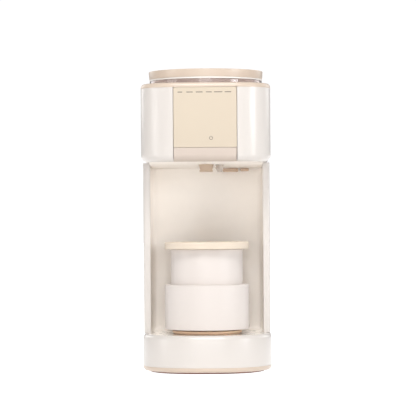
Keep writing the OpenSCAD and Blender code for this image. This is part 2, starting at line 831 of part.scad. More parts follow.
module outlet_plate() {
    color([0.9, 0.88, 0.85]) difference() {
        translate([0, hopper_y, plate_z0]) cylinder(r = skirt_r - 2.6, h = 2.6);
        translate([0, hopper_y, plate_z0 - 1]) cylinder(r = shaft_r + run_gap, h = 10);
        translate([0, stand_y, plate_z0 - 1]) cylinder(r = outlet_r, h = 10);
        translate([0, pinion_y, plate_z0 - 1]) cylinder(r = pinion_way_r, h = 10);
    }
}

module dosing_wheel() {
    pockets = 6;
    color([0.85, 0.6, 0.45]) translate([0, hopper_y, wheel_z0]) difference() {
        linear_extrude(wheel_z1 - wheel_z0) gear_outline(wheel_teeth, 90);
        translate([0, 0, -1]) cylinder(r = shaft_r + 0.02, h = 20);
        for (i = [0 : pockets - 1]) rotate([0, 0, i * 360 / pockets + 30])
            translate([outlet_off, 0, -1]) cylinder(r = 5.5, h = 20);
    }
}

module agitator() {
    low_z = cone_low_z + 2.4;
    high_z = cone_top_z + 3;
    color([0.92, 0.9, 0.88]) translate([0, hopper_y, 0]) difference() {
        union() {
            translate([0, 0, low_z]) cylinder(r = 8, h = high_z + 5 - low_z);
            for (a = [0, 180]) rotate([0, 0, a]) {
                translate([6, -1.5, low_z]) cube([24, 3, 4]);
                rotate([0, 0, 90]) translate([6, -1.5, high_z]) cube([64, 3, 4]);
            }
        }
        translate([0, 0, low_z - 1]) cylinder(r = shaft_r + 0.02, h = 40);
    }
}

module rotor_shaft() {
    color([0.75, 0.75, 0.77]) translate([0, hopper_y, plate_z0 + 0.2])
        cylinder(r = shaft_r, h = cone_top_z + 6 - plate_z0);
}

module hopper_lid() {
    spigot_r = hopper_r - hopper_wall - 0.4;
    color([0.95, 0.83, 0.74]) translate([0, hopper_y, 0]) rotate_extrude() {
        difference() {
            // top plate with a slightly tapered rim
            polygon([[0, lid_z0], [hopper_r + 0.6, lid_z0], [hopper_r + 1.4, lid_top - 0.8],
                     [hopper_r + 0.6, lid_top], [hopper_r - 6, lid_top],
                     [hopper_r - 10, lid_top - 2], [0, lid_top - 2]]);
            translate([-1, lid_z0 - 1]) square([spigot_r - 2.5 + 1, lid_top - 5 - lid_z0 + 1]);
        }
        translate([spigot_r - 2.5, lid_z0 - 9]) square([2.5, 10]);
    }
}

module lid_seal() {
    color([0.98, 0.97, 0.96]) translate([0, hopper_y, 0])
        ring(hopper_r - hopper_wall - 0.3, hopper_r + 0.3, seal_z0, lid_z0, 0.5);
}

// ---------- water tank ----------

module water_tank() {
    strip_low_z = tank_rim_z - 1;
    color([0.85, 0.88, 0.9, 0.5]) {
        difference() {
            union() {
                difference() {
                    slab(tank_half, tank_y0, tank_y1, tank_front_r, tank_rear_r, tank_z0, tank_rim_z,
                         0, 2);
                    slab(tank_half - tank_wall, tank_y0 + tank_wall, tank_y1 - tank_wall,
                         tank_front_r - tank_wall, tank_rear_r - tank_wall, tank_z0 + 3,
                         tank_rim_z + 1);
                }
                translate([0, tank_mid_y, spigot_z]) cylinder(r = spigot_r, h = tank_z0 - spigot_z + 1);
            }
            // spigot, with a bored bridge for the valve stem and four water holes
            translate([0, tank_mid_y, 180]) cylinder(r = valve_bore_r, h = tank_z0 - 180);
            translate([0, tank_mid_y, 180]) cylinder(r = axle_r + run_gap, h = 30);
            for (i = [0 : 3]) rotate_about(i * 90 + 45) translate([5, 0, 180])
                cylinder(r = 1.6, h = 30);
        }
        // fixed strip in front of the lid, with the hinge lugs
        difference() {
            slab(tank_half, tank_y0, 80, tank_front_r, 2, tank_rim_z - 0.5, lid_plate_z1, 1.5);
            box([-hinge_pocket_half, 66.6, strip_low_z], [hinge_pocket_half, 90, lid_plate_z1 + 1]);
            box([-80, strip_rear_y, strip_low_z], [80, 90, lid_plate_z1 + 1]);
            box([-60, 68, strip_low_z], [60, 90, tank_rim_z]);
        }
        for (side = [-1, 1]) difference() {
            union() {
                translate([side * lug_x - lug_w / 2, 0, 0])
                    box([0, 66, tank_hinge_z - lug_r], [lug_w, tank_hinge_y, lid_plate_z1]);
                hinge_barrel(side * lug_x, lug_w, lug_r);
            }
            hinge_barrel(side * lug_x, 20, hinge_pin_r + run_gap);
        }
        for (side = [-1, 1]) translate([side * (tank_half - 0.5), handle_y, handle_z])
            rotate([0, side * 90, 0]) cylinder(r = handle_peg_r, h = 4.5);
    }
}

// Turns its children about the tank's upright axis
module rotate_about(a) {
    translate([0, tank_mid_y, 0]) rotate([0, 0, a]) children();
}

// Cylinder on the tank lid's hinge axis, centred on x
module hinge_barrel(x, length, r) {
    translate([x - length / 2, tank_hinge_y, tank_hinge_z]) rotate([0, 90, 0])
        cylinder(r = r, h = length);
}

module tank_lid() {
    lip_inset = 3.5;
    lip_h = 4;
    skin = 2.2;
    tab_half = 14;
    color([0.95, 0.93, 0.9]) difference() {
        union() {
            slab(tank_half, lid_front_y, tank_y1, 2, tank_rear_r, lid_plate_z0, lid_plate_z1, 1.5);
            slab(tank_half - lip_inset, lid_front_y + 1.8, tank_y1 - lip_inset, 2,
                 tank_rear_r - lip_inset, lid_plate_z0 - lip_h, lid_plate_z0 + 1);
            box([-tab_half, tank_y1 - 3, lid_plate_z0 + 1.6], [tab_half, tank_y1 + 2.3, lid_plate_z1 - 0.3]);
            for (side = [-1, 1]) {
                hinge_barrel(side * knuckle_x, knuckle_w, knuckle_r);
                translate([side * knuckle_x - knuckle_w / 2, 0, 0])
                    box([0, tank_hinge_y, tank_hinge_z - 2],
                        [knuckle_w, lid_front_y + 2, tank_hinge_z + 2]);
            }
        }
        slab(tank_half - 6, lid_front_y + 4.3, tank_y1 - 6, 2, tank_rear_r - 6,
             lid_plate_z0 - lip_h - 1, lid_plate_z1 - skin);
        hinge_barrel(0, 120, hinge_pin_r + run_gap);
    }
}

module tank_lid_pin() {
    color([0.75, 0.75, 0.77]) hinge_barrel(0, 110, hinge_pin_r);
}

module tank_handle() {
    arm_x = tank_half + 0.5;
    bar_y = 143.5;
    eye_r = 8;
    color([0.94, 0.83, 0.74]) difference() {
        union() {
            for (side = [-1, 1]) translate([side > 0 ? arm_x : -arm_x - handle_t, 0, 0]) {
                box([0, handle_y, handle_z - handle_half_h],
                    [handle_t, back_y - 0.5, handle_z + handle_half_h]);
                translate([0, handle_y, handle_z]) rotate([0, 90, 0]) cylinder(r = eye_r, h = handle_t);
            }
            box([-arm_x - handle_t, bar_y, handle_z - handle_half_h],
                [arm_x + handle_t, back_y - 0.5, handle_z + handle_half_h]);
        }
        translate([-100, handle_y, handle_z]) rotate([0, 90, 0])
            cylinder(r = handle_peg_r + run_gap, h = 200);
    }
}

valve_flange_z = 187.2;

module tank_valve() {
    color([0.35, 0.35, 0.37]) translate([0, tank_mid_y, 0]) {
        translate([0, 0, tank_z0 + 3.2]) cylinder(r = 8.2, h = 2);
        translate([0, 0, valve_flange_z]) cylinder(r = axle_r, h = tank_z0 + 4 - valve_flange_z);
        translate([0, 0, valve_flange_z]) cylinder(r = 6, h = 1.4);
    }
}

// Coil spring swept as a closed tube around the valve's stem
module valve_spring() {
    wire_r = 0.4;
    coil_r = 4;
    turns = 4;
    steps = 16;
    sides = 6;
    low = valve_flange_z + 1.4 + wire_r + 0.1;
    high = tank_z0 - wire_r - 0.1;
    rings = turns * steps;
    points = [
        for (i = [0 : rings], k = [0 : sides - 1])
            let (a = 360 * i / steps, b = 360 * k / sides, r = coil_r + wire_r * cos(b))
                [r * cos(a), r * sin(a), low + (high - low) * i / rings + wire_r * sin(b)]
    ];
    faces = concat(
        [[for (k = [sides - 1 : -1 : 0]) k]],
        [[for (k = [0 : sides - 1]) rings * sides + k]],
        [for (i = [0 : rings - 1], k = [0 : sides - 1])
            let (next = (k + 1) % sides)
                [i * sides + k, i * sides + next, (i + 1) * sides + next, (i + 1) * sides + k]]
    );
    color([0.7, 0.7, 0.72]) translate([0, tank_mid_y, 0]) polyhedron(points, faces);
}

// ---------- bottle stand ----------

module seat_pad() {
    pad_r = 48.5;
    neck_r = 45.5;
    boss_r = 34;
    pad_z0 = deck_z + 1.3;
    pad_z1 = deck_z + 4.6;
    edge = 0.6;
    color([0.93, 0.72, 0.58]) translate([0, stand_y, 0]) rotate_extrude() polygon([
        [0, deck_z - 2.4], [deck_hole_r - 0.4, deck_z - 2.4], [deck_hole_r - 0.4, deck_z + 0.1],
        [neck_r, deck_z + 0.1], [neck_r, pad_z0], [pad_r - edge, pad_z0], [pad_r, pad_z0 + edge],
        [pad_r, pad_z1 - edge], [pad_r - edge, pad_z1], [boss_r, pad_z1], [boss_r, sleeve_z0 + 1.2],
        [0, sleeve_z0 + 1.2]
    ]);
}

module stand_sleeve() {
    recess_r = 34.5;
    recess_h = 1.5;
    lip_r = cup_r + 0.4;
    color([0.96, 0.94, 0.91]) translate([0, stand_y, 0]) rotate_extrude() difference() {
        rim_profile(sleeve_r, sleeve_z0, sleeve_z1, 2.2, 1);
        // recess over the seat pad
        translate([-1, sleeve_z0 - 1]) square([recess_r + 1, recess_h + 1]);
        // bore for the cup and the hole in the lip
        translate([-1, sleeve_z0 + sleeve_floor])
            square([sleeve_bore + 1, sleeve_z1 - lip_t - sleeve_z0 - sleeve_floor]);
        translate([-1, sleeve_z1 - lip_t - 1]) square([lip_r + 1, lip_t + 2]);
    }
}

module stand_cup() {
    cup_wall = 3;
    flange_z0 = cup_flange_z1 - cup_flange_t;
    color([0.96, 0.94, 0.91]) translate([0, stand_y, 0]) rotate_extrude() polygon([
        [0, flange_z0], [sleeve_bore - 0.3, flange_z0], [sleeve_bore - 0.3, cup_flange_z1],
        [cup_r, cup_flange_z1], [cup_r, cup_top], [cup_r - cup_wall, cup_top],
        [cup_r - cup_wall, flange_z0 + 3.3], [0, flange_z0 + 3.3]
    ]);
}

module collar_ring() {
    hole_r = bottle_hole_r + 4;
    spigot_r = cup_r - 3.4;
    color([0.96, 0.9, 0.8]) translate([0, stand_y, 0]) {
        ring(hole_r, sleeve_r, cup_top + 0.3, collar_top, 1.5);
        ring(spigot_r - 2.5, spigot_r, cup_top - 7, cup_top + 1);
    }
}

module grip_liner() {
    color([0.92, 0.88, 0.82]) translate([0, stand_y, 0])
        ring(bottle_hole_r, bottle_hole_r + 4, cup_top - 2, collar_top + 0.4, 0.4);
}

base_shell();
base_skirt();
bottom_cover();
rubber_feet();
base_screws();
deck_plate();
column_shell();
niche_liner();
rear_housing();
back_cover();
cover_screws();
power_inlet();
inlet_pins();
power_board();
board_parts();
pump_body();
pump_motor();
pump_impeller();
heater_block();
heat_sensor();
cold_hose();
pump_hose();
hot_hose();
hose_clips();
tank_seat();
seat_seal();
head_shell();
top_cover();
panel_carrier();
touch_panel();
panel_icons();
control_board();
underside_cover();
powder_nozzle();
water_nozzle();
sensor_window();
hopper_bay();
bay_floor();
dosing_motor();
motor_pinion();
hopper_cup();
hopper_floor();
outlet_plate();
dosing_wheel();
agitator();
rotor_shaft();
hopper_lid();
lid_seal();
water_tank();
tank_lid();
tank_lid_pin();
tank_handle();
tank_valve();
valve_spring();
seat_pad();
stand_sleeve();
stand_cup();
collar_ring();
grip_liner();
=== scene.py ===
"""Baby formula dispenser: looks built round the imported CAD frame.

Every length is in metres. +Z is up, -Y is the front, +X is the right seen from the front. Places come from
the CAD nodes' boxes; the design's own sizes that a box can't give, such as corner radii, are named below.
"""
import json
from math import asin, atan2, cos, degrees, pi, radians, sin, tan

import bmesh
import bpy
from mathutils import Matrix, Vector


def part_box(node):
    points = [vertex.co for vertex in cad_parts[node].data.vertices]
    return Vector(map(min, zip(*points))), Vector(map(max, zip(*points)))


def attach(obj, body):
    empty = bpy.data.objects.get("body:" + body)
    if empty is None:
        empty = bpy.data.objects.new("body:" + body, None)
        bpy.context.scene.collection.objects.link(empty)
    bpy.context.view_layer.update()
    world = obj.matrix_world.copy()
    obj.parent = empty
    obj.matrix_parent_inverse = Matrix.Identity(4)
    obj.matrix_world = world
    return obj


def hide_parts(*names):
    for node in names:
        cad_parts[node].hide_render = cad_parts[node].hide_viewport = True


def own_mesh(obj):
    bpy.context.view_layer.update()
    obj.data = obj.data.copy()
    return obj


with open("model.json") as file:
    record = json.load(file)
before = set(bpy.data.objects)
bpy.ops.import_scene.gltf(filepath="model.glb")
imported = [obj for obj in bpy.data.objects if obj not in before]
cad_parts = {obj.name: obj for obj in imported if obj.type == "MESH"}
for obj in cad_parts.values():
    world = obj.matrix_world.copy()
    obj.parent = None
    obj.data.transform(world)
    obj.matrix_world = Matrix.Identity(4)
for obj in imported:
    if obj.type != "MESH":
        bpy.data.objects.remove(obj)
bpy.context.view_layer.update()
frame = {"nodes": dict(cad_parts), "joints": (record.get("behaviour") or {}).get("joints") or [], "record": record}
record = frame["record"]
MM = 0.001
BODY_OF = {node: body for body, nodes in record["behaviour"]["bodies"].items() for node in nodes}
SLOT_OF = {part["node"]: part["material_slot"] for part in record["subparts"]}

# Thickness of the moulded shells, and the small radius left on every moulded edge
WALL = 3 * MM
SOFT = 0.4 * MM

# Steps in a corner seen from above: on the tank, and on the base and the head
MID_ARC = 24
FINE_ARC = 28


# ------------------------ mesh helpers

def shade(mesh, smooth_angle=32):
    """Soft shading with crisp creases where faces meet at more than the angle."""
    for face in mesh.polygons:
        face.use_smooth = True
    mesh.set_sharp_from_angle(angle=radians(smooth_angle))


def new_object(bm):
    """Turns a bmesh into a scene object."""
    bmesh.ops.recalc_face_normals(bm, faces=bm.faces)
    mesh = bpy.data.meshes.new("piece")
    bm.to_mesh(mesh)
    bm.free()
    shade(mesh)
    obj = bpy.data.objects.new("piece", mesh)
    bpy.context.scene.collection.objects.link(obj)
    return obj


def place(obj, material, node):
    """Names a finished piece, gives it its material and the body of the CAD node that it stands for, and hides
    that node.
    """
    obj.name = obj.data.name = node + "_visual"
    obj.data.materials.clear()
    obj.data.materials.append(material)
    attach(obj, BODY_OF[node])
    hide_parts(node)
    return obj


def rounded(points, steps=6):
    """Outline from (u, v, radius) corners, each corner that has a radius turned into an arc."""
    out = []
    for i, (u, v, radius) in enumerate(points):
        here = Vector((u, v))
        if radius <= 0:
            out.append(here)
            continue
        before = (Vector(points[i - 1][:2]) - here).normalized()
        after = (Vector(points[(i + 1) % len(points)][:2]) - here).normalized()
        half = before.angle(after) / 2
        centre = here + (before + after).normalized() * (radius / sin(half))
        reach = radius / tan(half)
        first = here + before * reach - centre
        last = here + after * reach - centre
        turn = atan2(first.x * last.y - first.y * last.x, first.dot(last))
        for k in range(steps + 1):
            c = cos(turn * k / steps)
            s = sin(turn * k / steps)
            out.append(centre + Vector((first.x * c - first.y * s, first.x * s + first.y * c)))
    return out


def rect(u0, v0, u1, v1, radius):
    """Corners of an upright rectangle, all with the same radius, as an outline for rounded()."""
    return [(u0, v0, radius), (u1, v0, radius), (u1, v1, radius), (u0, v1, radius)]


def lathe(profile, centre=(0, 0, 0), segments=160, steps=6):
    """Turned piece: a closed (radius, height, corner radius) outline spun about an upright axis."""
    bm = bmesh.new()
    centre = Vector(centre)
    rings = []
    for point in rounded(profile, steps):
        if point.x < 1e-6:
            rings.append([bm.verts.new(centre + Vector((0, 0, point.y)))])
            continue
        turns = (2 * pi * k / segments for k in range(segments))
        rings.append([bm.verts.new(centre + Vector((point.x * cos(a), point.x * sin(a), point.y)))
                      for a in turns])
    for a, b in zip(rings, rings[1:] + rings[:1]):
        for k in range(segments):
            n = (k + 1) % segments
            if len(a) == 1 and len(b) == 1:
                break
            if len(a) == 1:
                bm.faces.new((a[0], b[n], b[k]))
            elif len(b) == 1:
                bm.faces.new((a[k], a[n], b[0]))
            else:
                bm.faces.new((a[k], a[n], b[n], b[k]))
    return new_object(bm)


def plan_path(half, y0, y1, front_r, rear_r, arc=20, open_half=0):
    """Points round a rounded rectangle seen from above, each with its inward direction.

    The path starts in the middle of the front and runs anticlockwise, past +x. With open_half, which is
    wider than the flat front, it starts part of the way round one front corner and ends round the other.
    """
    path = []
    flat = half - front_r
    skipped = degrees(asin((open_half - flat) / front_r)) if open_half else 0

    def line(ax, ay, bx, by, inward, count):
        for k in range(count):
            t = k / count
            path.append((Vector((ax + (bx - ax) * t, ay + (by - ay) * t)), Vector(inward)))

    def corner(cx, cy, r, start, end):
        for k in range(arc):
            a = radians(start + (end - start) * k / arc)
            out = Vector((cos(a), sin(a)))
            path.append((Vector((cx, cy)) + out * r, -out))

    if not open_half:
        line(0, y0, flat, y0, (0, 1), 2)
    corner(flat, y0 + front_r, front_r, -90 + skipped, 0)
    line(half, y0 + front_r, half, y1 - rear_r, (-1, 0), 4)
    corner(half - rear_r, y1 - rear_r, rear_r, 0, 90)
    line(half - rear_r, y1, -half + rear_r, y1, (0, -1), 4)
    corner(-half + rear_r, y1 - rear_r, rear_r, 90, 180)
    line(-half, y1 - rear_r, -half, y0 + front_r, (1, 0), 4)
    corner(-flat, y0 + front_r, front_r, 180, 270 - skipped)
    if open_half:
        a = radians(270 - skipped)
        out = Vector((cos(a), sin(a)))
        path.append((Vector((-flat, y0 + front_r)) + out * front_r, -out))
    else:
        line(-flat, y0, 0, y0, (0, 1), 2)
    return path


def sweep(path, profile, closed=True, slab_caps=False, steps=5):
    """Carries an (inset, height, corner radius) outline round a plan path.

    slab_caps makes the outline an open line, and closes its two ends with flat faces, so the piece is a
    slab; otherwise the outline is a closed wall section. An open path gets its two ends closed.
    """
    bm = bmesh.new()
    outline = rounded(profile, steps)
    columns = [[bm.verts.new((*(point + inward * p.x), p.y)) for p in outline] for point, inward in path]
    pairs = list(zip(columns, columns[1:]))
    if closed:
        pairs.append((columns[-1], columns[0]))
    count = len(outline)
    for a, b in pairs:
        for k in range(count - 1 if slab_caps else count):
            n = (k + 1) % count
            bm.faces.new((a[k], b[k], b[n], a[n]))
    if slab_caps:
        bm.faces.new([c[0] for c in columns])
        bm.faces.new([c[-1] for c in reversed(columns)])
    if not closed:
        bm.faces.new(columns[0])
        bm.faces.new(list(reversed(columns[-1])))
    return new_object(bm)


def slab(half, y0, y1, front_r, rear_r, z0, z1, top_r=0, low_r=0, arc=20):
    """Rounded rectangle seen from above, with rounded top and bottom edges."""
    profile = [(1.01 * low_r, z0, 0), (0, z0, low_r)] if low_r else [(0, z0, 0)]
    profile += [(0, z1, top_r), (1.01 * top_r, z1, 0)] if top_r else [(0, z1, 0)]
    return sweep(plan_path(half, y0, y1, front_r, rear_r, arc), profile, slab_caps=True)


def pocket(half, y0, y1, front_r, rear_r, z0, z1, flare=0.5 * MM, arc=20):
    """Cutter for a recess whose rim at height z1 gets a small chamfer."""
    profile = [(0, z0, 0), (0, z1 - flare, 0), (-1.5 * flare, z1 + 0.5 * flare, 0)]
    return sweep(plan_path(half, y0, y1, front_r, rear_r, arc), profile, slab_caps=True)


def bevel_box(low, high, radius=SOFT, segments=3):
    """Box between two corners with every edge rounded."""
    bm = bmesh.new()
    bmesh.ops.create_cube(bm, size=1)
    low, high = Vector(low), Vector(high)
    size = high - low
    for vert in bm.verts:
        vert.co = low + Vector([(vert.co[i] + 0.5) * size[i] for i in range(3)])
    if radius:
        bmesh.ops.bevel(bm, geom=bm.edges, offset=radius, segments=segments, profile=0.5,
                        affect="EDGES", clamp_overlap=True)
    return new_object(bm)


def prism(outline, axis, start, end, bevel=0, steps=6):
    """Outline of (u, v, corner radius) points pushed along axis "x", "y" or "z" from start to end."""
    bm = bmesh.new()
    flat = rounded(outline, steps)

    def put(p, w):
        return {"x": (w, p.x, p.y), "y": (p.x, w, p.y), "z": (p.x, p.y, w)}[axis]

    low = [bm.verts.new(put(p, start)) for p in flat]
    high = [bm.verts.new(put(p, end)) for p in flat]
    bm.faces.new(low)
    bm.faces.new(list(reversed(high)))
    for k in range(len(flat)):
        n = (k + 1) % len(flat)
        bm.faces.new((low[k], low[n], high[n], high[k]))
    if bevel:
        rims = [bm.edges.get((ring[k - 1], ring[k])) for ring in (low, high) for k in range(len(ring))]
        bmesh.ops.bevel(bm, geom=rims, offset=bevel, segments=3, profile=0.5, affect="EDGES",
                        clamp_overlap=True)
    return new_object(bm)


def rod(centre, axis, radius, start, end, segments=48):
    """Plain round rod along an axis, for cutters and short pins. The centre's own coordinate is unused."""
    bm = bmesh.new()
    bmesh.ops.create_cone(bm, cap_ends=True, segments=segments, radius1=radius, radius2=radius,
                          depth=abs(end - start))
    turn = {"x": Matrix.Rotation(pi / 2, 4, "Y"), "y": Matrix.Rotation(pi / 2, 4, "X"),
            "z": Matrix.Identity(4)}[axis]
    middle = Vector(centre)
    middle["xyz".index(axis)] = (start + end) / 2
    bmesh.ops.transform(bm, matrix=Matrix.Translation(middle) @ turn, verts=bm.verts)
    return new_object(bm)


def join(*objs):
    """One object out of several loose solids."""
    bm = bmesh.new()
    for obj in objs:
        bm.from_mesh(obj.data)
        bpy.data.objects.remove(obj)
    return new_object(bm)


def carve(obj, *tools, operation="DIFFERENCE"):
    """Takes the tools' shapes out of obj, or adds them, and keeps the result as a plain mesh."""
    for tool in tools:
        modifier = obj.modifiers.new("carve", "BOOLEAN")
        modifier.operation = operation
        modifier.solver = "EXACT"
        modifier.object = tool
    bpy.context.view_layer.update()
    obj.data = bpy.data.meshes.new_from_object(obj.evaluated_get(bpy.context.evaluated_depsgraph_get()))
    obj.modifiers.clear()
    for tool in tools:
        bpy.data.objects.remove(tool)
    shade(obj.data)
    return obj


def stamped(pattern, places, matrix):
    """Copies of one solid at several places, joined, each turned by the same matrix."""
    bm = bmesh.new()
    for place_at in places:
        start = len(bm.verts)
        bm.from_mesh(pattern.data)
        bm.verts.ensure_lookup_table()
        bmesh.ops.transform(bm, matrix=Matrix.Translation(place_at) @ matrix, verts=bm.verts[start:])
    bpy.data.objects.remove(pattern)
    return new_object(bm)


def cross_screw(head_r, head_h, shank_r, length):
    """Cross-head screw standing on z = 0 with its head's top at head_h and its shank below."""
    screw = lathe([(0, -length, 0), (shank_r, -length, 0.3 * shank_r), (shank_r, 0, 0),
                   (head_r, 0, 0.15 * MM), (head_r, head_h, 0.5 * head_h), (0, head_h, 0)],
                  segments=48, steps=4)
    arm, width = 0.62 * head_r, 0.16 * head_r
    bars = [bevel_box((-a, -b, 0.35 * head_h), (a, b, head_h + MM), 0)
            for a, b in ((arm, width), (width, arm))]
    return carve(screw, *bars)


# ------------------------ materials

def linear(r, g, b):
    """Shader colour from 0-255 screen values."""
    def one(v):
        v /= 255
        return v / 12.92 if v <= 0.04045 else ((v + 0.055) / 1.055) ** 2.4
    return (one(r), one(g), one(b), 1)


def scaled(colour, factor):
    """A lighter or darker copy of a colour."""
    return (*[min(1, c * factor) for c in colour[:3]], 1)


def wire(tree, kind, settings=None, **links):
    """Adds a node, sets its plain values by socket name and links its inputs from other nodes' outputs."""
    node = tree.nodes.new(kind)
    for key, value in (settings or {}).items():
        if hasattr(node, key):
            setattr(node, key, value)
        else:
            node.inputs[key].default_value = value
    for key, source in links.items():
        tree.links.new(source, node.inputs[key.replace("_", " ")])
    return node


def moulded(name, colour, roughness, *, spread=0.025, grain=1400, depth=0.02 * MM, strength=0.25,
            cloud=22, rough_spread=0.05, **sockets):
    """Moulded plastic or rubber: soft colour clouds, a fine surface grain and uneven gloss.

    colour is a linear colour, grain and cloud are noise scales per metre, and sockets are plain values set
    straight on the shader.
    """
    material = bpy.data.materials.new(name)
    material.use_nodes = True
    tree = material.node_tree
    shader = tree.nodes["Principled BSDF"]
    for key, value in sockets.items():
        shader.inputs[key.replace("_", " ")].default_value = value
    position = tree.nodes.new("ShaderNodeTexCoord").outputs["Object"]
    clouds = wire(tree, "ShaderNodeTexNoise", {"Scale": cloud, "Detail": 3, "Roughness": 0.55},
                  Vector=position)
    tint = wire(tree, "ShaderNodeValToRGB", Fac=clouds.outputs["Fac"])
    tint.color_ramp.elements[0].position = 0.3
    tint.color_ramp.elements[0].color = scaled(colour, 1 - spread)
    tint.color_ramp.elements[1].position = 0.7
    tint.color_ramp.elements[1].color = scaled(colour, 1 + spread)
    tree.links.new(tint.outputs["Color"], shader.inputs["Base Color"])
    patches = wire(tree, "ShaderNodeTexNoise", {"Scale": 3.7 * cloud, "Detail": 4}, Vector=position)
    gloss = wire(tree, "ShaderNodeMapRange",
                 {"From Min": 0.3, "From Max": 0.7, "To Min": max(0.02, roughness - rough_spread),
                  "To Max": roughness + rough_spread}, Value=patches.outputs["Fac"])
    tree.links.new(gloss.outputs["Result"], shader.inputs["Roughness"])
    fine = wire(tree, "ShaderNodeTexNoise", {"Scale": grain, "Detail": 2}, Vector=position)
    bump = wire(tree, "ShaderNodeBump", {"Strength": strength, "Distance": depth},
                Height=fine.outputs["Fac"])
    tree.links.new(bump.outputs["Normal"], shader.inputs["Normal"])
    return material


def found(tree, kind):
    """The first node of a kind in a material's tree."""
    return next(node for node in tree.nodes if node.bl_idname == kind)


def brushed(name, colour, roughness, axis_scale=(60, 60, 2600), **sockets):
    """Drawn or turned metal: fine scratches along one direction."""
    material = moulded(name, colour, roughness, spread=0.06, cloud=160, rough_spread=0.08,
                       Metallic=1.0, **sockets)
    tree = material.node_tree
    bump = found(tree, "ShaderNodeBump")
    position = found(tree, "ShaderNodeTexCoord").outputs["Object"]
    stretch = wire(tree, "ShaderNodeMapping", {"Scale": axis_scale}, Vector=position)
    lines = wire(tree, "ShaderNodeTexNoise", {"Scale": 1, "Detail": 3}, Vector=stretch.outputs["Vector"])
    tree.links.new(lines.outputs["Fac"], bump.inputs["Height"])
    return material


def circuit(name):
    """Green circuit board with copper tracks showing through the lacquer."""
    material = moulded(name, linear(24, 92, 52), 0.35, spread=0.12, cloud=60, Coat_Weight=0.5)
    tree = material.node_tree
    shader = tree.nodes["Principled BSDF"]
    position = found(tree, "ShaderNodeTexCoord").outputs["Object"]
    tracks = wire(tree, "ShaderNodeTexBrick", {"Scale": 60, "Mortar Size": 0.012, "Bias": -0.4},
                  Vector=position)
    tracks.inputs["Color1"].default_value = linear(24, 92, 52)
    tracks.inputs["Color2"].default_value = linear(30, 104, 60)
    tracks.inputs["Mortar"].default_value = linear(120, 140, 70)
    tree.links.new(tracks.outputs["Color"], shader.inputs["Base Color"])
    return material


WHITE = moulded("white_shell", linear(214, 207, 201), 0.3, grain=900, strength=0.012,
                depth=0.01 * MM, spread=0.004, rough_spread=0.006, Coat_Weight=0.2, Coat_Roughness=0.18)
# Painted shade: the panel strip gets a darker copy of the shell's white, standing in for the shade on its roll
# under the head
STRIP_WHITE_SHADED = moulded("strip_white", linear(197, 182, 170), 0.4, spread=0.006, strength=0.02,
                      rough_spread=0.01, Coat_Weight=0.1, Coat_Roughness=0.18)
LINER = moulded("beige_liner", linear(252, 245, 237), 0.4, grain=1300, spread=0.02)
DECK = moulded("deck_plate", linear(253, 249, 243), 0.12, grain=1100, spread=0.012, strength=0.05,
               Coat_Weight=0.5, Coat_Roughness=0.08)
PANEL = moulded("beige_panel", linear(205, 191, 172), 0.5, strength=0.02, spread=0.006,
                rough_spread=0.01, Specular_IOR_Level=0.3)
PEACH = moulded("peach_trim", linear(208, 190, 173), 0.3, grain=1100, spread=0.01, strength=0.02,
                rough_spread=0.006)
STAND = moulded("stand_white", linear(218, 209, 203), 0.45, grain=1000, spread=0.008, strength=0.06)
COLLAR = moulded("collar_beige", linear(220, 205, 187), 0.5, grain=1200, spread=0.02)
GRIP = moulded("grip_silicone", linear(226, 214, 198), 0.6, grain=1700, strength=0.3, spread=0.03,
               Subsurface_Weight=0.15, Subsurface_Scale=3 * MM)
PRINT = moulded("grey_print", linear(120, 112, 102), 0.5, grain=2600, spread=0.08)
SEAT = moulded("peach_silicone", linear(246, 212, 180), 0.5, grain=1800, strength=0.3, spread=0.04,
               Subsurface_Weight=0.1, Subsurface_Scale=2 * MM)
SEAL = moulded("white_silicone", linear(244, 240, 235), 0.5, grain=1800, spread=0.02)
RED_SEAL = moulded("red_silicone", linear(196, 84, 62), 0.5, grain=1800, spread=0.06)
FOOT = moulded("foot_rubber", linear(58, 52, 48), 0.8, grain=1900, strength=0.5, spread=0.1)
BROWN = moulded("brown_base", linear(128, 74, 56), 0.6, grain=1300, spread=0.06)
BLACK = moulded("black_plastic", linear(34, 34, 35), 0.45, grain=1500, strength=0.4, spread=0.12)
# Painted shadow: the sensor pods carry the shaded beige of the spot under the head where they sit, not a smoked
# tint of their own
SENSOR_SHADOW_TONE = moulded("smoke_window", linear(196, 166, 138), 0.2, strength=0.04, spread=0.04,
                Coat_Weight=0.8, Coat_Roughness=0.04)
DOSING = moulded("dosing_plastic", linear(226, 180, 150), 0.38, grain=1500, spread=0.03)
INNER = moulded("inner_plastic", linear(242, 235, 228), 0.42, grain=1200, spread=0.025)
HOSE = moulded("hose_silicone", linear(232, 226, 218), 0.35, spread=0.03, Transmission_Weight=0.25,
               Subsurface_Weight=0.2, Subsurface_Scale=2 * MM)
CLEAR = moulded("clear_plastic", linear(249, 240, 241), 0.06, strength=0.03, spread=0.01,
                rough_spread=0.02, Transmission_Weight=0.92, IOR=1.49)
TANK = moulded("tank_plastic", linear(240, 244, 247), 0.16, strength=0.05, spread=0.01,
               rough_spread=0.04, Transmission_Weight=0.9, IOR=1.49)
# Partly painted shade: the nozzle's own beige is a little darker than the liner, and its colour also carries the
# shade it sits in under the head
NOZZLE = moulded("powder_nozzle", linear(190, 167, 145), 0.42, grain=1300, spread=0.02)
NOZZLE_CLEAR = moulded("nozzle_clear", linear(238, 228, 218), 0.2, strength=0.05, spread=0.01,
                       Transmission_Weight=0.6, IOR=1.45)
STEEL = brushed("steel", linear(196, 196, 198), 0.3)
BRASS = brushed("brass", linear(205, 172, 104), 0.3)
ALUMINIUM = brushed("aluminium", linear(200, 201, 204), 0.36)
BOARD = circuit("circuit_board")

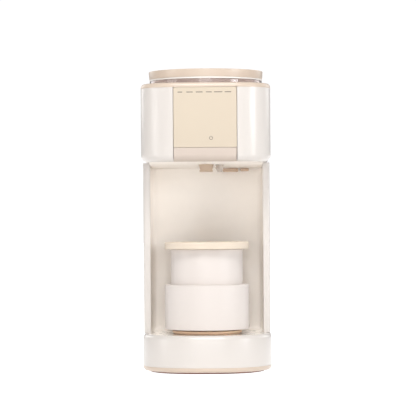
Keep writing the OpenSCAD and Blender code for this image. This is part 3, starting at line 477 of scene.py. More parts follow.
# Finished material for each slot whose CAD nodes keep their own shape
CARRIED = {
    "inner_plastic": INNER, "dosing_plastic": DOSING, "red_silicone": RED_SEAL, "black_plastic": BLACK,
    "steel": STEEL, "brass": BRASS, "aluminium": ALUMINIUM, "circuit_board": BOARD, "hose_silicone": HOSE,
}


# ------------------------ base and deck

# Corner radii seen from above, which the base, the skirt and the bottom cover step in from
BASE_FRONT_R = 76 * MM
BASE_REAR_R = 30 * MM
# Middles of the base's screws and feet
SCREW_PLACES = [(x * MM, y * MM) for x, y in ((-62, -94), (62, -94), (-70, 96), (70, 96))]
FOOT_PLACES = [(x * MM, y * MM) for x, y in ((-54, -110), (54, -110), (-62, 118), (62, 118))]


def base_shell(low, high):
    deck_low, deck_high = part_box("deck_plate")
    half, y0, y1, z1 = high.x, low.y, high.y, high.z
    z0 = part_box("base_skirt")[1].z
    shell = slab(half, y0, y1, BASE_FRONT_R, BASE_REAR_R, z0, z1, 6 * MM, SOFT, FINE_ARC)
    hollow = slab(half - WALL, y0 + WALL, y1 - WALL, BASE_FRONT_R - WALL, BASE_REAR_R - WALL,
                  z0 - MM, z1 - 5 * MM, 2 * MM, 0, FINE_ARC)
    gap = 0.2 * MM
    recess = pocket(deck_high.x + gap, deck_low.y - gap, deck_high.y + gap,
                    BASE_FRONT_R - half + deck_high.x + gap, 4 * MM, deck_low.z - 0.1 * MM, z1, arc=FINE_ARC)
    # openings that the hoses come up through, behind the niche and under the tank
    below = z1 - 10 * MM
    hose_way = bevel_box((-50 * MM, 8 * MM, below), (50 * MM, 44 * MM, z1 + MM), 0)
    tank_way = bevel_box((-60 * MM, 80 * MM, below), (60 * MM, 130 * MM, z1 + MM), 0)
    return carve(shell, hollow, recess, hose_way, tank_way)


def base_skirt(low, high):
    path = plan_path(high.x, low.y, high.y, BASE_FRONT_R, BASE_REAR_R, FINE_ARC)
    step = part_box("bottom_cover")[1].z
    section = [(0, high.z, SOFT), (0, low.z, 4 * MM), (9 * MM, low.z, SOFT), (9 * MM, step, 0),
               (14 * MM, step, 0), (14 * MM, high.z, 0)]
    return sweep(path, section)


def bottom_cover(low, high):
    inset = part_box("base_shell")[1].x - high.x
    cover = slab(high.x, low.y, high.y, BASE_FRONT_R - inset, BASE_REAR_R - inset,
                 low.z, high.z, SOFT, 0.8 * MM)
    foot_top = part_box("rubber_feet")[1].z + 0.1 * MM
    foot_r, head_r, head_deep, shank_r, past_top = 9.1 * MM, 3.6 * MM, 3.4 * MM, 1.8 * MM, 10 * MM
    tools = [rod((x, y, 0), "z", foot_r, 0, foot_top) for x, y in FOOT_PLACES]
    tools += [rod((x, y, 0), "z", head_r, 0, head_deep) for x, y in SCREW_PLACES]
    tools += [rod((x, y, 0), "z", shank_r, 0, past_top) for x, y in SCREW_PLACES]
    return carve(cover, *tools)


def rubber_feet(low, high):
    foot = lathe([(0, 0.4 * MM, 0), (5 * MM, 0.4 * MM, 0.2 * MM), (5.6 * MM, 0, 0.3 * MM),
                  (9 * MM, 0, 0.7 * MM), (9 * MM, high.z, 0.3 * MM), (0, high.z, 0)], segments=64)
    places = [(x, y, 0) for x, y in FOOT_PLACES]
    return stamped(foot, places, Matrix.Identity(4))


def base_screws(low, high):
    head_h = 1.6 * MM
    screw = cross_screw(3.2 * MM, head_h, 1.5 * MM, 12.5 * MM)
    places = [(x, y, low.z + head_h) for x, y in SCREW_PLACES]
    return stamped(screw, places, Matrix.Rotation(pi, 4, "X"))


def deck_plate(low, high):
    front_r = BASE_FRONT_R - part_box("base_shell")[1].x + high.x
    rear_r, plug_r = 3.8 * MM, 20 * MM
    deck = slab(high.x, low.y, high.y, front_r, rear_r, low.z, high.z, SOFT, 0, FINE_ARC)
    hole = rod(stand_axis, "z", plug_r, low.z - MM, high.z + MM, 96)
    return carve(deck, hole)


# ------------------------ column and rear housing

# Wall of the niche's liner, and the radius where its floor and sides meet its back wall
LINER_WALL = 2.5 * MM
COVE = 8 * MM


def column_shell(low, high):
    liner_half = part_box("niche_liner")[1].x
    half, inner = high.x, liner_half - LINER_WALL
    front, back, skin = low.y, high.y, 6 * MM
    right = [(inner, front + skin, 0), (inner, front, 1.2 * MM), (half, front, 4 * MM),
             (half, back, 2 * MM)]
    inside = [(half - WALL, back - WALL, 0), (half - WALL, front + skin, 0)]
    outline = right + [(-x, y, r) for x, y, r in reversed(right)]
    outline += [(-x, y, r) for x, y, r in reversed(inside)] + inside
    column = prism(outline, "z", low.z, high.z, 0.25 * MM)
    hose_z, hose_r = 150 * MM, 6 * MM
    hose_hole = rod((0, 0, hose_z), "y", hose_r, back - 5 * MM, back + MM)
    # flange that closes the top outside the niche
    edge = liner_half + 0.1 * MM
    flange = [(half - MM, front + skin - MM, 0), (half - MM, back - MM, 0), (MM - half, back - MM, 0),
              (MM - half, front + skin - MM, 0), (-edge, front + skin - MM, 0), (-edge, back - 10 * MM, 0),
              (edge, back - 10 * MM, 0), (edge, front + skin - MM, 0)]
    carve(column, prism(flange, "z", high.z - WALL, high.z - 0.02 * MM), operation="UNION")
    return carve(column, hose_hole)


def niche_liner(low, high):
    inner, wall_y = high.x - LINER_WALL, high.y - LINER_WALL
    liner = bevel_box(low, high, 0)
    plan = [(-inner, low.y - MM, 0), (inner, low.y - MM, 0), (inner, wall_y, COVE), (-inner, wall_y, COVE)]
    space = prism(plan, "z", low.z - MM, high.z + MM, steps=12)
    side = [(low.y - 2 * MM, low.z, 0), (wall_y, low.z, COVE), (wall_y, high.z + 2 * MM, 0),
            (low.y - 2 * MM, high.z + 2 * MM, 0)]
    swept = prism(side, "x", -inner - MM, inner + MM, steps=12)
    carve(space, swept, operation="INTERSECT")
    return carve(liner, space)


def rear_housing(low, high):
    cover_low, cover_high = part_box("back_cover")
    half, y0, y1 = high.x, low.y, high.y
    front_r, top_r, seat_r = 2.2 * MM, 2 * MM, 16.1 * MM
    shell = slab(half, y0, y1, front_r, BASE_REAR_R, low.z, high.z, top_r, SOFT, FINE_ARC)
    hollow = slab(half - WALL, y0 + 2 * MM, y1 - WALL, front_r, BASE_REAR_R - WALL,
                  low.z - MM, high.z - WALL, top_r, 0, FINE_ARC)
    # ring that the back cover is screwed to
    ring_w, lip = 4 * MM, 8 * MM
    frame_ring = bevel_box((cover_low.x - ring_w, cover_low.y - 3 * MM, cover_low.z - ring_w),
                           (cover_high.x + ring_w, y1 - WALL + 0.5 * MM, cover_high.z + ring_w), SOFT)
    gap = 0.3 * MM
    rim = rect(cover_low.x - gap, cover_low.z - gap, cover_high.x + gap, cover_high.z + gap, 3 * MM)
    recess = prism(rim, "y", cover_low.y, y1 + MM)
    way = bevel_box((cover_low.x + lip, y1 - 20 * MM, cover_low.z + lip),
                    (cover_high.x - lip, y1 + MM, cover_high.z - lip), 0)
    seat_hole = rod(tank_axis, "z", seat_r, high.z - 10 * MM, high.z + MM, 96)
    carve(shell, hollow)
    carve(shell, frame_ring, operation="UNION")
    return carve(shell, recess, way, seat_hole)


def back_cover(low, high):
    outline = rect(low.x, low.z, high.x, high.z, 2.7 * MM)
    cover = prism(outline, "y", low.y, high.y, 0.35 * MM)
    tools = []
    rows, first, pitch = 8, high.z - 18 * MM, 6 * MM
    slot_x, slot_half, slot_high, slot_r = 24 * MM, 17 * MM, 2.4 * MM, 1.19 * MM
    for row in range(rows):
        z = first - row * pitch
        for x in (-slot_x, slot_x):
            slot = rect(x - slot_half, z, x + slot_half, z + slot_high, slot_r)
            tools.append(prism(slot, "y", low.y - MM, high.y + MM))
    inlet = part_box("power_inlet")
    tools.append(bevel_box((inlet[0].x + 1.9 * MM, low.y - MM, inlet[0].z + 2 * MM),
                           (inlet[1].x - 1.9 * MM, high.y + MM, inlet[1].z - 2 * MM), 0))
    for x, z in cover_screw_places(low, high):
        tools.append(rod((x, 0, z), "y", 1.7 * MM, low.y - MM, high.y + MM))
    return carve(cover, *tools)


def cover_screw_places(low, high):
    edge = 4 * MM
    return [(x, z) for x in (low.x + edge, high.x - edge) for z in (low.z + edge, high.z - edge)]


def cover_screws(low, high):
    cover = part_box("back_cover")
    screw = cross_screw(3.2 * MM, 1.3 * MM, 1.5 * MM, 9 * MM)
    places = [(x, cover[1].y, z) for x, z in cover_screw_places(*cover)]
    return stamped(screw, places, Matrix.Rotation(-pi / 2, 4, "X"))


def power_inlet(low, high):
    cover_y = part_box("back_cover")[1].y
    flange = rect(low.x, low.z, high.x, high.z, 2.5 * MM)
    body = prism(flange, "y", cover_y, high.y, 0.4 * MM)
    barrel = bevel_box((low.x + 2.1 * MM, low.y, low.z + 2.2 * MM),
                       (high.x - 2.1 * MM, high.y - 0.3 * MM, high.z - 2.2 * MM), 0.5 * MM)
    carve(body, barrel, operation="UNION")
    # the socket's upper corners are cut off, as on a standard three-pin inlet
    edge_x, edge_z, chamfer = 3.5 * MM, 3.6 * MM, 4 * MM
    socket = [(low.x + edge_x, low.z + edge_z, MM), (high.x - edge_x, low.z + edge_z, MM),
              (high.x - edge_x, high.z - edge_z - chamfer, 0.6 * MM),
              (high.x - edge_x - chamfer, high.z - edge_z, 0.6 * MM),
              (low.x + edge_x + chamfer, high.z - edge_z, 0.6 * MM),
              (low.x + edge_x, high.z - edge_z - chamfer, 0.6 * MM)]
    return carve(body, prism(socket, "y", high.y - 20 * MM, high.y + MM))


# ------------------------ head

HEAD_FRONT_R = 50 * MM
HEAD_REAR_R = 20 * MM
HEAD_EDGE_R = 10 * MM


def head_shell(low, high):
    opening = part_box("touch_panel")[1].x + 0.7 * MM
    path = plan_path(high.x, low.y, high.y, HEAD_FRONT_R, HEAD_REAR_R, FINE_ARC, open_half=opening)
    inset = HEAD_EDGE_R + 0.5 * MM
    section = [(0, high.z, SOFT), (0, low.z, HEAD_EDGE_R), (inset, low.z, 0), (inset, low.z + WALL, 0),
               (WALL, low.z + WALL, HEAD_EDGE_R - WALL), (WALL, high.z, 0.3 * MM)]
    return sweep(path, section, closed=False, steps=9)


def top_cover(low, high):
    cover = slab(high.x, low.y, high.y, HEAD_FRONT_R, HEAD_REAR_R, low.z, high.z, 5 * MM, SOFT, FINE_ARC)
    rim = 6 * MM
    hollow = slab(high.x - rim, low.y + rim, high.y - rim, HEAD_FRONT_R - rim,
                  HEAD_REAR_R - rim, low.z - MM, low.z + 3.5 * MM, 0, 0, FINE_ARC)
    hole_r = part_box("hopper_cup")[1].x + 0.7 * MM
    hole = lathe([(0, low.z - MM, 0), (hole_r, low.z - MM, 0), (hole_r, high.z - 0.8 * MM, 0),
                  (hole_r + 0.9 * MM, high.z + 0.1 * MM, 0), (hole_r + MM, high.z + MM, 0),
                  (0, high.z + MM, 0)], hopper_axis)
    return carve(cover, hollow, hole)


def panel_carrier(low, high):
    panel_low, panel_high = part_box("touch_panel")
    step = panel_low.z - 0.5 * MM
    strip_low, strip_high = panel_low.x, panel_high.x - 0.5 * MM
    outline = [(low.y, step, 0.5 * MM), (low.y, low.z, HEAD_EDGE_R),
               (low.y + HEAD_EDGE_R, low.z, 0), (low.y + HEAD_EDGE_R, low.z + WALL, 0),
               (low.y + WALL, low.z + WALL, HEAD_EDGE_R - WALL), (low.y + WALL, step, 0.3 * MM)]
    strip = prism(outline, "x", strip_low, strip_high, 0.35 * MM, steps=10)
    plate = bevel_box((panel_low.x, panel_high.y, low.z + HEAD_EDGE_R), (panel_high.x, high.y, high.z), 0)
    return join(strip, plate)


def touch_panel(low, high):
    outline = rect(low.x, low.z, high.x, high.z, 1.2 * MM)
    return prism(outline, "y", low.y, high.y, 0.5 * MM)


def panel_icons(low, high):
    """Plain dashes over the touch keys, and a generic power mark: a ring with a short bar at its top."""
    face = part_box("touch_panel")[0].y
    skin, root, dash_high = 0.06 * MM, 0.2 * MM, 1.2 * MM
    marks = []
    for x, length in [(-37.5, 6.5), (-25.5, 9), (-12.5, 9.5), (1.5, 8), (12.5, 11.5), (27, 9)]:
        outline = rect(x * MM, high.z - dash_high, (x + length) * MM, high.z, 0.5 * MM)
        marks.append(prism(outline, "y", face - skin, face + root))
    hole_r, ring_r, ring_t = 1.85 * MM, 2.6 * MM, 0.3 * MM
    ring = lathe(rect(hole_r, 0, ring_r, ring_t, 0), segments=64)
    power = Vector((8 * MM, face + root, low.z + ring_r))
    for vert in ring.data.vertices:
        vert.co = power + Vector((vert.co.x, -vert.co.z, vert.co.y))
    gap = bevel_box((power.x - 0.9 * MM, face - MM, power.z + MM),
                    (power.x + 0.9 * MM, face + MM, power.z + 3 * MM), 0)
    bar = bevel_box((power.x - 0.35 * MM, face - skin, power.z + 0.5 * MM),
                    (power.x + 0.35 * MM, face + root, power.z + 2.9 * MM), 0)
    return join(carve(ring, gap), bar, *marks)


def underside_cover(low, high):
    """Plate under the head, with the niche's ceiling that slopes down to the back wall."""
    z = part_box("head_shell")[0].z
    plate_r, ceiling_r, ceiling_rear_r = 39.2 * MM, 38.8 * MM, 7.8 * MM
    inset, slope_y = 0.4 * MM, low.y + 7.2 * MM
    plate = slab(high.x, low.y, high.y, plate_r, 2 * MM, z, z + 2.8 * MM, 0, SOFT, MID_ARC)
    boss = rod(stand_axis, "z", 13 * MM, z + MM, high.z, 96)
    wall_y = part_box("niche_liner")[1].y - LINER_WALL
    ceiling = slab(high.x - inset, low.y + inset, wall_y - 0.2 * MM, ceiling_r, ceiling_rear_r,
                   z - 13 * MM, z + MM, 0, 0, MID_ARC)
    side = [(slope_y, z, 0), (wall_y, low.z - 0.01 * MM, 0), (wall_y, z + 2 * MM, 0),
            (slope_y, z + 2 * MM, 0)]
    carve(ceiling, prism(side, "x", -high.x, high.x), operation="INTERSECT")
    carve(plate, boss, ceiling, operation="UNION")
    below, powder_r, water_r, mouth_r = z - 10 * MM, 11.2 * MM, 5 * MM, 7 * MM
    powder_way = rod(stand_axis, "z", powder_r, below, high.z + MM, 96)
    water_way = rod(water_axis, "z", water_r, below, high.z + MM, 64)
    water_mouth = rod(water_axis, "z", mouth_r, below, z, 64)
    return carve(plate, powder_way, water_way, water_mouth)


def powder_nozzle(low, high):
    """Cone with a lip round its mouth, under the tube that slides in the cover's boss."""
    mouth_r, lip_r, neck_r, cone_r, tube_r = 5.8 * MM, 9.4 * MM, 8.7 * MM, 10.9 * MM, 11 * MM
    z = low.z + 13 * MM
    profile = [(mouth_r, z - 13 * MM, SOFT), (lip_r, z - 13 * MM, 0.8 * MM),
               (lip_r, z - 11 * MM, 0.5 * MM), (neck_r, z - 10.4 * MM, 0.3 * MM),
               (cone_r, z - 0.5 * MM, 0), (tube_r, z, 0), (tube_r, high.z, SOFT),
               (9.4 * MM, high.z, 0), (6.2 * MM, z + 2 * MM, 2 * MM)]
    return lathe(profile, stand_axis, 96)


def water_nozzle(low, high):
    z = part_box("underside_cover")[0].z
    bore, tip, stem, neck, flange, brim = 1.6 * MM, 3 * MM, 3.4 * MM, 4.9 * MM, 6.4 * MM, 6.6 * MM
    profile = [(bore, low.z, 0.3 * MM), (tip, low.z, 0.6 * MM), (brim, z - 0.3 * MM, SOFT),
               (neck, z - 0.3 * MM, 0), (neck, z + 2.8 * MM, 0), (flange, z + 2.8 * MM, 0.2 * MM),
               (flange, z + 4.2 * MM, 0.2 * MM), (stem, z + 4.2 * MM, 0), (stem, high.z, 0.3 * MM),
               (bore, high.z, 0)]
    return lathe(profile, water_axis, 64)


def sensor_window(low, high):
    """Two lens pods under the niche's ceiling, each with a dished lens in its face."""
    pods = [((low.x, low.z), (45 * MM, high.z)), ((48 * MM, low.z + MM), (high.x, high.z))]
    made = []
    edge, dished = 1.6 * MM, 0.6 * MM
    for (x0, z0), (x1, z1) in pods:
        pod = prism(rect(x0, z0, x1, z1, edge), "y", low.y, high.y, 0.7 * MM)
        dish = bevel_box((x0 + edge, low.y - MM, z0 + edge),
                         (x1 - edge, low.y + dished, z1 - edge), 0.5 * MM)
        made.append(carve(pod, dish))
    return join(*made)


# ------------------------ powder hopper

def hopper_cup(low, high):
    """Clear bowl: upright wall, cone and skirt, with a slot that clears the pinion."""
    bottom = low.z
    outer, wall = high.x, 2 * MM
    skirt, cone_low, cone_top = 34.5 * MM, bottom + 13.6 * MM, bottom + 34 * MM
    profile = [(skirt - 2.5 * MM, bottom, SOFT), (skirt, bottom, SOFT), (skirt, cone_low, 1.5 * MM),
               (outer, cone_top, 3 * MM), (outer, high.z, 0.7 * MM), (outer - wall, high.z, 0.7 * MM),
               (outer - wall, cone_top + 1.2 * MM, 2 * MM), (skirt - 2.5 * MM, cone_low + MM, MM)]
    cup = lathe(profile, hopper_axis)
    slot = rod(pinion_axis, "z", 11 * MM, bottom - MM, bottom + 11.6 * MM, 64)
    return carve(cup, slot)


def lid_seal(low, high):
    """Silicone ring with two fine sealing ribs round it."""
    outer, inner, third = high.x, high.x - 2.6 * MM, (high.z - low.z) / 3
    profile = [(inner, low.z, 0.3 * MM), (outer, low.z, SOFT), (outer, low.z + third, 0.2 * MM),
               (outer - 0.35 * MM, low.z + 1.5 * third, 0.2 * MM), (outer, low.z + 2 * third, 0.2 * MM),
               (outer, high.z, 0.3 * MM), (inner, high.z, 0)]
    return lathe(profile, hopper_axis)


def hopper_lid(low, high):
    rim_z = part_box("lid_seal")[1].z
    outer = high.x
    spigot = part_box("hopper_cup")[1].x - 2.4 * MM
    inside = spigot - 2.5 * MM
    dish_r, brim_r, dish_z, ceiling_z = outer - 11.4 * MM, outer - 7.4 * MM, high.z - 2 * MM, high.z - 5 * MM
    profile = [(0, dish_z, 0), (dish_r, dish_z, 3 * MM), (brim_r, high.z, 2 * MM), (outer, high.z, 0.7 * MM),
               (outer - 0.8 * MM, rim_z, 0.6 * MM), (spigot, rim_z, 0.3 * MM), (spigot, low.z, 0.5 * MM),
               (inside, low.z, 0.5 * MM), (inside, ceiling_z, 1.2 * MM), (0, ceiling_z, 0)]
    return lathe(profile, hopper_axis)


# ------------------------ water tank

# Where the tank's hinge lugs stand either side of the middle, and the bore for the hinge pin
HINGE_HALF = 50 * MM
PIN_BORE_R = 1.56 * MM


def hinge_barrel(x0, x1, radius, end_bevel=0.25 * MM):
    barrel = lathe([(0, 0, 0), (radius, 0, end_bevel), (radius, x1 - x0, end_bevel),
                    (0, x1 - x0, 0)], segments=48)
    for vert in barrel.data.vertices:
        x, y, z = vert.co
        vert.co = (x0 + z, hinge_axis.y + y, hinge_axis.z + x)
    barrel.data.flip_normals()
    return barrel


def water_tank(low, high):
    half, y0, y1 = 75 * MM, low.y, high.y
    rim = hinge_axis.z - 3 * MM
    floor = low.z + 9.6 * MM
    front_r, rear_r, wall = 14 * MM, 24 * MM, 2.5 * MM
    strip_back, mouth_y, beyond = 82 * MM, 72.8 * MM, 90 * MM
    bore_r, spigot_r, lug_half, lug_r, peg_r, peg_out = 8 * MM, 11 * MM, 4 * MM, 2.6 * MM, 4 * MM, 4 * MM
    tank = slab(half, y0, y1, front_r, rear_r, floor, rim, SOFT, 2.5 * MM, MID_ARC)
    strip = slab(half, y0, strip_back, front_r, 1.6 * MM, rim - 2 * MM, high.z, 1.5 * MM, 0, MID_ARC)
    carve(tank, strip, operation="UNION")
    inside = slab(half - wall, y0 + wall, y1 - wall, front_r - wall, rear_r - wall,
                  floor + 3 * MM, rim - 0.3 * MM, 0, 2 * MM, MID_ARC)
    mouth = slab(half - wall, mouth_y, y1 - wall, 1.5 * MM, rear_r - wall, rim - 2 * MM,
                 high.z + MM, 0, 0, MID_ARC)
    behind = bevel_box((-80 * MM, mouth_y, rim), (80 * MM, beyond, high.z + MM), 0)
    hinge_pocket = bevel_box((-56 * MM, 66.6 * MM, rim - MM), (56 * MM, beyond, high.z + MM), 0)
    spigot = lathe([(bore_r, low.z, SOFT), (spigot_r, low.z, 0.6 * MM),
                    (spigot_r, floor + MM, 0), (bore_r, floor + MM, 0)], tank_axis, 96)
    carve(tank, inside, mouth, behind, hinge_pocket)
    carve(tank, spigot, operation="UNION")
    # four holes that the water leaves by, round the one that the valve's stem slides in
    ring_r, hole_r, stem_r, above = 5 * MM, 1.6 * MM, 2.06 * MM, floor + 4 * MM
    holes = [rod((tank_axis.x + ring_r * cos(a), tank_axis.y + ring_r * sin(a), 0), "z",
                 hole_r, low.z - MM, above, 24)
             for a in (pi / 4 + k * pi / 2 for k in range(4))]
    holes.append(rod(tank_axis, "z", stem_r, low.z - MM, above, 32))
    carve(tank, *holes)
    extras = []
    for side in (-1, 1):
        x = side * HINGE_HALF
        lug = bevel_box((x - lug_half, 66 * MM, hinge_axis.z - lug_r),
                        (x + lug_half, hinge_axis.y, hinge_axis.z + 2.5 * MM), 0.25 * MM)
        carve(lug, hinge_barrel(x - lug_half, x + lug_half, lug_r), operation="UNION")
        extras.append(carve(lug, hinge_barrel(x - 10 * MM, x + 10 * MM, PIN_BORE_R, 0)))
        extras.append(rod(handle_axis, "x", peg_r, side * (half - 0.5 * MM), side * (half + peg_out)))
    return join(tank, *extras)


def tank_lid(low, high):
    plate_low = high.z - 5.1 * MM
    half, front, back = high.x, hinge_axis.y + 4.1 * MM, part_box("water_tank")[1].y
    front_r, barrel_mid, barrel_half = 2 * MM, 30 * MM, 14 * MM
    lid = slab(half, front, back, front_r, 24 * MM, plate_low, high.z, 1.5 * MM, SOFT, MID_ARC)
    lip = slab(half - 3.5 * MM, front + 1.8 * MM, back - 3.5 * MM, front_r, 20.5 * MM,
               low.z, plate_low + MM, 0, SOFT, MID_ARC)
    tab = bevel_box((-14 * MM, back - 3 * MM, plate_low + 1.6 * MM),
                    (14 * MM, high.y, high.z - 0.3 * MM), 0.9 * MM)
    parts = [lip, tab]
    for side in (-1, 1):
        x0, x1 = side * barrel_mid - barrel_half, side * barrel_mid + barrel_half
        parts.append(hinge_barrel(x0, x1, 2.4 * MM))
        parts.append(bevel_box((x0, hinge_axis.y, hinge_axis.z - 2 * MM),
                               (x1, front + 2 * MM, hinge_axis.z + 2 * MM), 0.2 * MM))
    carve(lid, *parts, operation="UNION")
    hollow = slab(half - 6 * MM, front + 4.3 * MM, back - 6 * MM, front_r, 18 * MM,
                  low.z - MM, high.z - 2.2 * MM, 0, 0, MID_ARC)
    pin_way = hinge_barrel(-60 * MM, 60 * MM, PIN_BORE_R, 0)
    return carve(lid, hollow, pin_way)


def tank_handle(low, high):
    arm = 3.5 * MM
    inner, bar_front, bar_half = high.x - arm, 143.5 * MM, 4 * MM
    y, z = handle_axis.y, handle_axis.z
    plan = [(-high.x, y, 0), (-high.x, high.y, 5 * MM), (high.x, high.y, 5 * MM), (high.x, y, 0),
            (inner, y, 0), (inner, bar_front, 2.5 * MM), (-inner, bar_front, 2.5 * MM), (-inner, y, 0)]
    handle = prism(plan, "z", z - bar_half, z + bar_half, 1.1 * MM)
    eye_r, peg_hole_r = 8 * MM, 4.06 * MM
    turns = [2 * pi * k / 64 for k in range(64)]
    eye = [(y + eye_r * cos(a), z + eye_r * sin(a), 0) for a in turns]
    for side in (-1, 1):
        x0, x1 = sorted((side * inner, side * high.x))
        carve(handle, prism(eye, "x", x0, x1, 0.8 * MM), operation="UNION")
    hole = rod(handle_axis, "x", peg_hole_r, -100 * MM, 100 * MM, 64)
    return carve(handle, hole)


def valve_spring(low, high):
    """Coil spring on the valve's stem, between the valve's head and the tank's floor."""
    wire_r, coils, per_coil, sides = 0.4 * MM, 4, 32, 12
    coil_r = high.x - wire_r
    steps = coils * per_coil
    bm = bmesh.new()
    rings = []
    for i in range(steps + 1):
        a = 2 * pi * i / per_coil
        z = low.z + wire_r + (high.z - low.z - 2 * wire_r) * i / steps
        ring = []
        for k in range(sides):
            b = 2 * pi * k / sides
            r = coil_r + wire_r * cos(b)
            ring.append(bm.verts.new((tank_axis.x + r * cos(a), tank_axis.y + r * sin(a),
                                      z + wire_r * sin(b))))
        rings.append(ring)
    for one, two in zip(rings, rings[1:]):
        for k in range(sides):
            n = (k + 1) % sides
            bm.faces.new((one[k], one[n], two[n], two[k]))
    bm.faces.new(rings[0])
    bm.faces.new(list(reversed(rings[-1])))
    return new_object(bm)


def squash_spring(spring):
    """Gives the spring a mesh of its own; its coils are not moved. With the valve pushed up, the spring's top
    stays where it is and its foot rises.
    """
    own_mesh(spring)


# ------------------------ bottle stand

def seat_pad(low, high):
    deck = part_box("deck_plate")[1].z
    plug_r, foot_r, brim_r, boss_r = 19.6 * MM, 45.5 * MM, 48.5 * MM, 34 * MM
    foot_z, brim_low, brim_high = deck + 0.1 * MM, deck + 1.3 * MM, deck + 4.6 * MM
    profile = [(0, low.z, 0), (plug_r, low.z, SOFT), (plug_r, foot_z, 0), (foot_r, foot_z, 0.3 * MM),
               (foot_r, brim_low, 0.2 * MM), (brim_r, brim_low, 0.8 * MM), (brim_r, brim_high, 0.8 * MM),
               (boss_r, brim_high, 0.3 * MM), (boss_r, high.z, SOFT), (0, high.z, 0)]
    return lathe(profile, stand_axis)


def stand_sleeve(low, high):
    outer, bore = high.x, high.x - WALL
    lip_r, lip_t = 50.9 * MM, 4 * MM
    recess, recess_z, floor = 34.5 * MM, low.z + 1.5 * MM, low.z + 4 * MM
    profile = [(0, recess_z, 0), (recess, recess_z, 0.3 * MM), (recess, low.z, 0.3 * MM),
               (outer, low.z, MM), (outer, high.z, 2.2 * MM), (lip_r, high.z, 0.6 * MM),
               (lip_r, high.z - lip_t, 0.3 * MM), (bore, high.z - lip_t, 0.3 * MM),
               (bore, floor, 0.6 * MM), (0, floor, 0)]
    return lathe(profile, stand_axis)


def stand_cup(low, high):
    flange_r, cup_r = high.x, 50.5 * MM
    inner, floor = cup_r - WALL, low.z + 3.3 * MM
    flange_top = low.z + 5 * MM
    profile = [(0, low.z, 0), (flange_r, low.z, 0.5 * MM), (flange_r, flange_top, 0.5 * MM),
               (cup_r, flange_top, 0.3 * MM), (cup_r, high.z, 0.8 * MM), (inner, high.z, 0.8 * MM),
               (inner, floor, 2 * MM), (0, floor, 0)]
    return lathe(profile, stand_axis)


def collar_ring(low, high):
    cup_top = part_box("stand_cup")[1].z
    outer, hole, spigot = high.x, 40 * MM, 47.1 * MM
    inside, under = spigot - 2.5 * MM, cup_top + 0.3 * MM
    profile = [(hole, under, 0.3 * MM), (inside, under, 0), (inside, low.z, 0.5 * MM),
               (spigot, low.z, 0.5 * MM), (spigot, under, 0), (outer, under, 1.4 * MM),
               (outer, high.z, 1.6 * MM), (hole, high.z, 0.3 * MM)]
    return lathe(profile, stand_axis)


def grip_liner(low, high):
    """Soft ring whose narrow middle holds the bottle."""
    outer, inner = high.x, 36 * MM
    profile = [(inner + 1.2 * MM, low.z, 0.4 * MM), (outer, low.z, 0.3 * MM), (outer, high.z, 0.35 * MM),
               (inner + 0.8 * MM, high.z, 0.35 * MM), (inner, high.z - 2 * MM, 0.8 * MM),
               (inner, low.z + 2 * MM, 0.8 * MM)]
    return lathe(profile, stand_axis)


# ------------------------ assembly

def axis_of(node):
    """Middle of a round node, seen from above."""
    low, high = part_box(node)
    return Vector(((low.x + high.x) / 2, (low.y + high.y) / 2, 0))


stand_axis = axis_of("stand_sleeve")
water_axis = axis_of("water_nozzle")
hopper_axis = axis_of("hopper_lid")
pinion_axis = axis_of("dosing_motor")
tank_axis = axis_of("tank_seat")
joint_at = {joint["name"]: Vector(joint["pos_m"]) for joint in frame["joints"] if "pos_m" in joint}
hinge_axis = joint_at["tank_lid_hinge"]
handle_axis = joint_at["handle_swing"]

# Each piece's maker and material. A maker is named after its node and is given the corners of its box
MADE_OF = {
    base_shell: WHITE, base_skirt: PEACH, bottom_cover: BROWN, rubber_feet: FOOT, base_screws: STEEL,
    deck_plate: DECK, column_shell: WHITE, niche_liner: LINER, rear_housing: WHITE, back_cover: LINER,
    cover_screws: STEEL, power_inlet: BLACK, head_shell: WHITE, top_cover: PEACH,
    panel_carrier: STRIP_WHITE_SHADED, touch_panel: PANEL, panel_icons: PRINT, underside_cover: LINER,
    powder_nozzle: NOZZLE, water_nozzle: NOZZLE_CLEAR, sensor_window: SENSOR_SHADOW_TONE, hopper_cup: CLEAR,
    lid_seal: SEAL, hopper_lid: PEACH, water_tank: TANK, tank_lid: WHITE, tank_handle: PEACH,
    valve_spring: STEEL, seat_pad: SEAT, stand_sleeve: STAND, stand_cup: STAND, collar_ring: COLLAR,
    grip_liner: GRIP,
}
for make, finish in MADE_OF.items():
    made = place(make(*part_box(make.__name__)), finish, make.__name__)
    if make is valve_spring:
        squash_spring(made)

# CAD nodes whose own shape is right keep it, with a finished material
for node, obj in frame["nodes"].items():
    if obj.hide_render:
        continue
    obj.data.materials.clear()
    obj.data.materials.append(CARRIED[SLOT_OF[node]])


# ------------------------ stage, light and camera

# Radius of the floor and of the white dome that meets it
STUDIO_R = 12


def ground_sheet(name, z, glow):
    bm = bmesh.new()
    bmesh.ops.create_circle(bm, cap_ends=True, segments=96, radius=1.01 * STUDIO_R)
    sheet = new_object(bm)
    sheet.name = name
    sheet.location.z = z
    paper = moulded(name + "_paper", linear(226, 226, 226), 0.9, spread=0.004, grain=300, cloud=2,
                    strength=0.05, Emission_Color=(1, 1, 1, 1), Emission_Strength=glow)
    sheet.data.materials.append(paper)
    return sheet


def floor():
    """White studio floor that is seen, and a dimmer sheet on it that only bounces light."""
    seen = ground_sheet("floor", -0.3 * MM, 0.72)
    seen.visible_diffuse = False
    bounce = ground_sheet("floor_bounce", -0.2 * MM, 0.3)
    bounce.visible_camera = bounce.visible_glossy = bounce.visible_transmission = False
    bounce.visible_shadow = False


def area_light(name, place_at, target, size, power, colour=(1, 1, 1)):
    data = bpy.data.lights.new(name, "AREA")
    data.shape = "DISK"
    data.size = size
    data.energy = power
    data.color = colour
    light = bpy.data.objects.new(name, data)
    light.location = place_at
    light.rotation_euler = (Vector(target) - Vector(place_at)).to_track_quat("-Z", "Y").to_euler()
    bpy.context.scene.collection.objects.link(light)


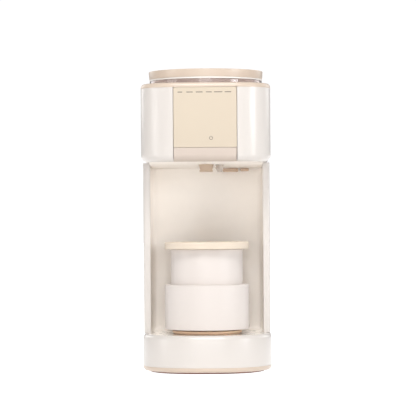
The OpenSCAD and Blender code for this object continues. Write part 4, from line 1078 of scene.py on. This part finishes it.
def sky(strength):
    """Even studio light from all round, and a white backdrop that only shows and lights nothing."""
    world = bpy.data.worlds.new("studio")
    world.use_nodes = True
    world.node_tree.nodes["Background"].inputs["Strength"].default_value = strength
    world.node_tree.nodes["Background"].inputs["Color"].default_value = (1, 1, 1, 1)
    bpy.context.scene.world = world
    bm = bmesh.new()
    bmesh.ops.create_uvsphere(bm, u_segments=48, v_segments=24, radius=STUDIO_R)
    dome = new_object(bm)
    dome.name = "backdrop"
    white = bpy.data.materials.new("backdrop_white")
    white.use_nodes = True
    shader = white.node_tree.nodes["Principled BSDF"]
    shader.inputs["Base Color"].default_value = (0, 0, 0, 1)
    shader.inputs["Emission Color"].default_value = (1, 1, 1, 1)
    shader.inputs["Emission Strength"].default_value = 1.0
    dome.data.materials.append(white)
    dome.visible_diffuse = dome.visible_glossy = dome.visible_shadow = False


def camera():
    """Long lens 2.8 m in front of the machine, near the height of its middle, hardly turned or rolled."""
    data = bpy.data.cameras.new("camera")
    data.sensor_width = 36
    data.lens = 177
    data.clip_start, data.clip_end = 0.1, 100
    cam = bpy.data.objects.new("camera", data)
    cam.location = (0.040, -2.945, 0.2228)
    pitch, yaw, roll = radians(90 + 0.112), radians(0.755), radians(-0.4)
    turn = Matrix.Rotation(yaw, 3, "Z") @ Matrix.Rotation(pitch, 3, "X") @ Matrix.Rotation(roll, 3, "Z")
    cam.rotation_euler = turn.to_euler()
    bpy.context.scene.collection.objects.link(cam)
    bpy.context.scene.camera = cam


floor()
sky(0.34)
MIDDLE = (0, 0, 0.22)
area_light("front", (0.0, -3.6, 0.9), MIDDLE, 1.6, 20)
area_light("high_front", (0.0, -1.9, 2.6), MIDDLE, 1.1, 55)
area_light("key", (2.6, -1.5, 0.7), MIDDLE, 0.9, 20, (0.94, 0.97, 1))
area_light("fill", (-2.7, -0.95, 0.6), MIDDLE, 1.3, 12)
area_light("top", (0.3, -0.2, 2.6), MIDDLE, 1.6, 4)
area_light("back_left", (-2.0, 2.4, 1.2), MIDDLE, 1.6, 14)
area_light("back_right", (2.2, 2.0, 1.2), MIDDLE, 1.6, 12)
camera()
bpy.context.scene.view_settings.view_transform = "Standard"
